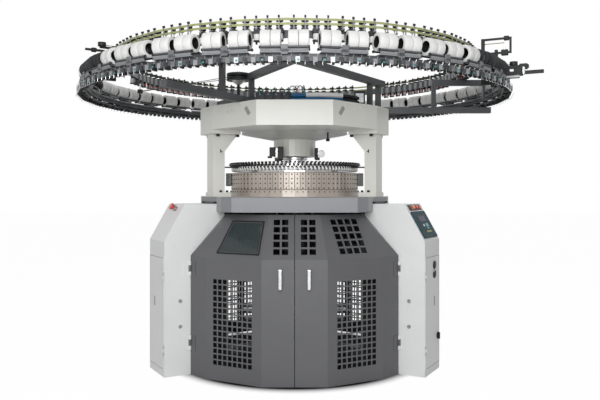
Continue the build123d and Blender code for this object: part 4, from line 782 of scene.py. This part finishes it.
sensor_bodies = (housing_grey, dull_steel, dark_plastic, grey_plastic, black_plastic, dull_steel,
                 dark_plastic)
first_sensor, sensor_pitch, teal_sensors = -0.129, 0.043, (1, 4)
sensor_parts = []
for number, body in enumerate(sensor_bodies):
    sensor_parts += sensor(first_sensor + sensor_pitch * number, body, number in teal_sensors)
sensor_parts += [
    block((1.424, -0.060, 1.806), (0.034, 0.070, 0.016), dark_plastic),
    block((1.420, 0.055, 1.804), (0.040, 0.050, 0.020), black_plastic),
    rod((1.400, -0.150, 1.800), (1.400, 0.150, 1.800), 0.005, ring_steel, sides=6),
]
sensors = set_out(sensor_parts, round_ring(feeder_directions), "yarn_sensors")
hand_over(sensors)

# %% [markdown]
# The quality wheel drives the belts. It has a black hub with a bright pin on top, and a bright
# cone below. Two thin runs of belt lead from it to a small idler at the inner ring.

# %% Quality wheel and its belt runs
wheel_low, wheel_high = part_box("quality_wheel")
wheel_x, wheel_y = [(low + high) / 2 for low, high in zip(wheel_low[:2], wheel_high[:2])]
wheel_top = wheel_high[2]
wheel_parts = [
    pin(wheel_x, wheel_y, wheel_top, wheel_top + 0.006, 0.030, black_plastic, sides=24,
        edge=0.002),
    pin(wheel_x, wheel_y, wheel_top + 0.006, wheel_top + 0.016, 0.010, bright_steel, sides=14),
    pin(wheel_x, wheel_y, wheel_top - 0.070, wheel_top - 0.0445, 0.014, bright_steel, sides=20,
        end_radius=0.044),
]
wheel_dress = join(wheel_parts, "quality_wheel_hub")
hand_over(wheel_dress, body="quality_wheel")

idler = Vector((-1.128, 0.164, 1.884))
run_parts = []
for side, height in ((-1, 1.878), (1, 1.892)):
    start = Vector((wheel_x - 0.030, wheel_y + side * 0.078, height))
    end = Vector((idler.x + 0.004, idler.y + side * 0.020, height))
    run_parts.append(rod(start, end, 0.0022, seam_dark, sides=6))
run_parts += [
    pin(idler.x, idler.y, idler.z - 0.012, idler.z + 0.014, 0.020, black_plastic, sides=16),
    pin(idler.x, idler.y, idler.z, idler.z + 0.060, 0.005, bright_steel, sides=8),
    block((idler.x - 0.010, idler.y, 1.948), (0.050, 0.030, 0.012), dark_plastic, 0.002),
    block((idler.x - 0.024, idler.y, 1.966), (0.012, 0.030, 0.040), dark_plastic, 0.002),
]
belt_runs = join(run_parts, "belt_runs_and_idler")
hand_over(belt_runs)

# %% [markdown]
# The hoses on the crown start at rows of push-in fittings on the valve block, most of them teal
# and two red, with blue stubs at the front. Coloured rings tie the bundle together, and a steel
# plate lies on the junction box at its other end.

# %% Valve block and hose ties
loom_parts = []
for number in range(8):
    x = -0.225 + 0.027 * number
    cap = red_lamp if number in (2, 5) else teal_plastic
    loom_parts += [
        pin(x, -0.556, 1.766, 1.776, 0.007, bright_steel, sides=8),
        pin(x, -0.556, 1.775, 1.790, 0.0055, teal_plastic, sides=8),
        pin(x, -0.584, 1.766, 1.778, 0.0055, cap, sides=8),
    ]
for number in range(4):
    x = -0.205 + 0.050 * number
    loom_parts += [
        block((x, -0.602, 1.740), (0.034, 0.006, 0.036), dark_plastic, 0.001),
        rod((x - 0.008, -0.604, 1.752), (x - 0.008, -0.620, 1.752), 0.006, blue_hose, sides=8),
    ]
for number, material in enumerate((blue_hose, white_ceramic, red_lamp, teal_plastic)):
    clear_selection()
    bpy.ops.mesh.primitive_torus_add(
        major_segments=20,
        minor_segments=6,
        major_radius=0.024,
        minor_radius=0.003,
        location=(-0.010 + 0.022 * number, -0.582 - 0.006 * number, 1.784),
        rotation=(radians(90), 0, radians(25 * number)),
    )
    tie = settle(bpy.context.object)
    tie.data.materials.append(material)
    loom_parts.append(tie)
loom_parts.append(block((0.415, -0.451, 1.752), (0.052, 0.004, 0.060), dull_steel, 0.001))
hose_dress = join(loom_parts, "valve_fittings")
hand_over(hose_dress)

# %% [markdown]
# A belt tension station stands on the outer ring at each side. Its bars carry dark clamps and
# short yellow-green runs of belt.

# %% Tension stations
right_way, left_way = 334, 214
belt_depth = 0.003
tension_parts = [
    turned_block(right_way, (1.440, 0, 2.093), (0.030, 0.022, 0.026), black_plastic, 0.002),
    turned_block(right_way, (1.430, 0, 2.006), (0.040, 0.030, 0.034), black_plastic, 0.002),
    rod(spot(right_way, 1.430, 0, 2.006), spot(right_way, 1.430, 0, 2.046), 0.005, bright_steel,
        sides=8),
    turned_block(right_way, (1.380, 0, 2.006), (0.018, 0.024, 0.040), black_plastic, 0.002),
    turned_block(right_way, (1.540, 0, 1.912), (0.046, 0.034, 0.032), black_plastic, 0.002),
    turned_block(right_way, (1.510, 0, 1.880), (0.052, 0.036, 0.044), black_plastic, 0.002),
    turned_block(right_way, (1.440, 0, 1.885), (0.036, 0.030, 0.036), black_plastic, 0.002),
    rod(spot(right_way, 1.540, -0.012, 1.866), spot(right_way, 1.540, -0.012, 1.905), 0.012,
        bright_steel),
    rod(spot(right_way, 1.390, -0.020, 1.850), spot(right_way, 1.520, -0.020, 1.850), 0.011,
        dull_steel),
    turned_block(right_way, (1.360, 0.018, 2.070), (0.130, 0.010, belt_depth), belt_rubber),
    turned_block(right_way, (1.380, 0.020, 1.934), (0.170, 0.010, belt_depth), belt_rubber),
    turned_block(left_way, (1.420, 0, 1.987), (0.028, 0.022, 0.024), black_plastic, 0.002),
    turned_block(left_way, (1.318, -0.020, 2.026), (0.110, 0.010, belt_depth), belt_rubber),
]
tension_dress = join(tension_parts, "tension_clamps")
hand_over(tension_dress)

# %% [markdown]
# The control panel lies on the sloping head of the right leg cover. Its film is dark teal, with a
# dark blue display above, cyan and white keys below it and a yellow-green line under them. The
# push buttons stand above it between two strips, the lower one bright. The dark plates between and
# beside them stop short of the buttons, which move. The emergency stop on the left cover has a
# bright plate on either side.

# %% Control panel
right_cover, left_cover = 330, 210
cover_reach, knee_height, slope_tilt = 1.002, 0.849, 29.99
rise, run = cos(radians(slope_tilt)), sin(radians(slope_tilt))


def slope_block(direction, across, up, lift, size, material, edge=0.0):
    """A thin block on a cover's slope; size is thickness, width and height along the slope."""
    centre = spot(direction, cover_reach - run * up + rise * lift, across,
                  knee_height + rise * up + run * lift)
    return block(centre, size, material, edge, turn=(0, -slope_tilt, direction))


panel_top, plate_lift, film = 0.0095, 0.0006, 0.0012
button_row, key_depth = 0.232, 0.0016
panel_parts = [
    slope_block(right_cover, across, up, panel_top + lift, size, material, edge)
    for across, up, lift, size, material, edge in (
        (-0.003, 0.150, 0.0, (film, 0.114, 0.036), screen_face, 0.0),
        (-0.003, 0.150, -0.0004, (film, 0.124, 0.046), black_plastic, 0.0),
        (0.030, 0.104, 0.0, (key_depth, 0.044, 0.022), key_plastic, 0.0005),
        (-0.028, 0.104, 0.0, (key_depth, 0.018, 0.016), white_ceramic, 0.0005),
        (0.022, 0.082, 0.0, (key_depth, 0.030, 0.010), key_plastic, 0.0005),
        (0.014, 0.060, -0.001, (film, 0.080, 0.012), belt_rubber, 0.0),
    )
]
for up, material in ((0.2535, dark_plastic), (0.2110, bright_steel)):
    panel_parts.append(slope_block(right_cover, 0, up, plate_lift, (film, 0.216, 0.005), material))
for across, width in ((-0.026, 0.0145), (0.026, 0.0145), (-0.0895, 0.0370), (0.0895, 0.0370)):
    panel_parts.append(slope_block(right_cover, across, button_row, plate_lift,
                                   (film, width, 0.038), dark_plastic))
for across in (-0.037, 0.037):
    panel_parts.append(slope_block(left_cover, across, button_row, plate_lift,
                                   (film, 0.0360, 0.046), bright_steel, 0.0003))
panel_dress = join(panel_parts, "panel_keys")
hand_over(panel_dress)

# %% [markdown]
# The right cabinet door carries two black round inserts with a slanting bright bar between them.
# Both doors show the dark slot of their lock, and their edges are fine shadow lines.

# %% Cabinet doors
door_face, lock_height, insert_shift = 1.0052, 0.465, 0.030
line_face = door_face - 0.0002
for side, direction in (("right", right_cover), ("left", left_cover)):
    slot_shift = 0.030 if side == "right" else -0.030
    door_parts = [turned_block(direction, (door_face + 0.0004, slot_shift, lock_height),
                               (0.002, 0.007, 0.060), black_plastic)]
    for height in (0.064, 0.746):
        door_parts.append(turned_block(direction, (line_face, 0, height), (0.001, 0.250, 0.0022),
                                       seam_dark))
    for across in (-0.126, 0.126):
        door_parts.append(turned_block(direction, (line_face, across, 0.405),
                                       (0.001, 0.0018, 0.680), seam_dark))
    if side == "right":
        for height in (0.690, 0.634):
            door_parts.append(rod(spot(direction, door_face - 0.001, insert_shift, height),
                                  spot(direction, door_face + 0.005, insert_shift, height), 0.027,
                                  black_plastic, sides=28, edge=0.002))
        door_parts.append(turned_block(direction, (door_face + 0.0045, insert_shift, 0.662),
                                       (0.003, 0.060, 0.007), bright_steel, 0.001, lean=28))
    dress = join(door_parts, "cabinet_" + side + "_details")
    hand_over(dress, body="cabinet_door_" + side)

# %% [markdown]
# The inspection window in the left guard door is held by a black rubber frame that follows the
# edge of the pane. The frame's corners are read from the pane of the solid model.

# %% Window rubber
rubber_radius, rubber_lift, face_depth, corner_gap = 0.005, 0.0035, 0.0005, 0.003
pane_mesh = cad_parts["door_window"].data
outward = max(pane_mesh.polygons, key=lambda face: face.area).normal.copy()
if outward.y > 0:
    outward.negate()
depths = [vertex.co.dot(outward) for vertex in pane_mesh.vertices]
corners = []
for vertex, depth in zip(pane_mesh.vertices, depths):
    apart = all((vertex.co - corner).length > corner_gap for corner in corners)
    if depth > max(depths) - face_depth and apart:
        corners.append(vertex.co.copy())
centre = sum(corners, Vector()) / len(corners)
side_axis = outward.cross(Vector((0, 0, 1))).normalized()
up_axis = side_axis.cross(outward)
corners.sort(key=lambda c: atan2((c - centre).dot(up_axis), (c - centre).dot(side_axis)))
lift = outward * rubber_lift
rubber_parts = []
for corner, following in zip(corners, corners[1:] + corners[:1]):
    rubber_parts.append(rod(corner + lift, following + lift, rubber_radius, black_plastic,
                            sides=8))
    clear_selection()
    bpy.ops.mesh.primitive_uv_sphere_add(segments=8, ring_count=6, radius=rubber_radius,
                                         location=corner + lift)
    ball = settle(bpy.context.object)
    ball.data.materials.append(black_plastic)
    rubber_parts.append(ball)
window_rubber = join(rubber_parts, "window_rubber")
hand_over(window_rubber, body="door_left")
print("window corners", len(corners))

# %% [markdown]
# The large openings of the two rear guards are closed with a mesh of narrow flat bars, as far
# apart as the perforations of the doors. From the front it shows through the doors' grilles.

# %% Mesh of the rear guards
guard_front, front_half, guard_fold, fold_offset = 0.822, 0.193, 0.647, 0.535
opening_middle, opening_width, opening_height = 0.368, 0.263, 0.502
guard_sheet, mesh_pitch, mesh_bar, mesh_depth = 0.003, 0.035, 0.0085, 0.0016
upright_bars, level_bars = 7, 14
facet_turn = degrees(atan2(guard_front - guard_fold, fold_offset - front_half))
mesh_parts = []
for direction in (30, 150):
    for side in (-1, 1):
        heading = direction + side * facet_turn
        outwards, along = spot(heading, 1, 0, 0), spot(heading, 0, 1, 0)
        facet = spot(direction, (guard_front + guard_fold) / 2,
                     side * (front_half + fold_offset) / 2, opening_middle)
        facet = facet - outwards * (guard_sheet + mesh_depth / 2)
        for number in range(upright_bars):
            sideways = along * (number - (upright_bars - 1) / 2) * mesh_pitch
            mesh_parts.append(block(facet + sideways,
                                    (mesh_depth, mesh_bar, opening_height), door_coat,
                                    turn=(0, 0, heading)))
        for number in range(level_bars):
            upwards = Vector((0, 0, (number - (level_bars - 1) / 2) * mesh_pitch))
            mesh_parts.append(block(facet - outwards * mesh_depth + upwards,
                                    (mesh_depth, opening_width, mesh_bar), door_coat,
                                    turn=(0, 0, heading)))
rear_mesh = join(mesh_parts, "rear_guard_mesh")
hand_over(rear_mesh)

# %% [markdown]
# The floor is a pale plane. The camera sees it almost white, and it keeps the machine's shadow.
# Under the machine, where only the grilles let one see it, the floor is painted near black as
# painted shadow.

# %% Floor
painted_shadow_reach, pale_reach, floor_glow = 0.80, 0.90, 0.98
clear_selection()
bpy.ops.mesh.primitive_plane_add(size=60, location=(0, 0, 0))
floor = bpy.context.object
floor.name = "studio_floor"
floor_paint = bpy.data.materials.new("studio_floor_paint")
floor_paint.use_nodes = True
tree = floor_paint.node_tree
ground = add_node(tree, "TexCoord").outputs["Object"]
reach = add_node(tree, "VectorMath", {0: ground}, operation="LENGTH").outputs["Value"]
outside = add_node(tree, "MapRange", {"Value": reach, "From Min": painted_shadow_reach,
                                      "From Max": pale_reach}).outputs[0]
# The floor's colour is near black under the machine: painted shadow.
floor_tone_and_painted_shadow = add_node(tree, "Mix", {"Factor": outside, "A": (0.02, 0.02, 0.02, 1),
                              "B": (0.97, 0.97, 0.97, 1)}, data_type="RGBA")
shader = tree.nodes["Principled BSDF"]
feed(shader, {"Base Color": floor_tone_and_painted_shadow.outputs["Result"], "Roughness": 0.9})
glow = add_node(tree, "Emission", {"Color": white, "Strength": 1.0})
camera_ray = add_node(tree, "LightPath").outputs["Is Camera Ray"]
share = compute(tree, "MULTIPLY", compute(tree, "MULTIPLY", camera_ray, outside), floor_glow)
mixed = add_node(tree, "MixShader", {0: share, 1: shader.outputs[0], 2: glow.outputs[0]})
feed(tree.nodes["Material Output"], {"Surface": mixed.outputs[0]})
floor.data.materials.append(floor_paint)

# %% [markdown]
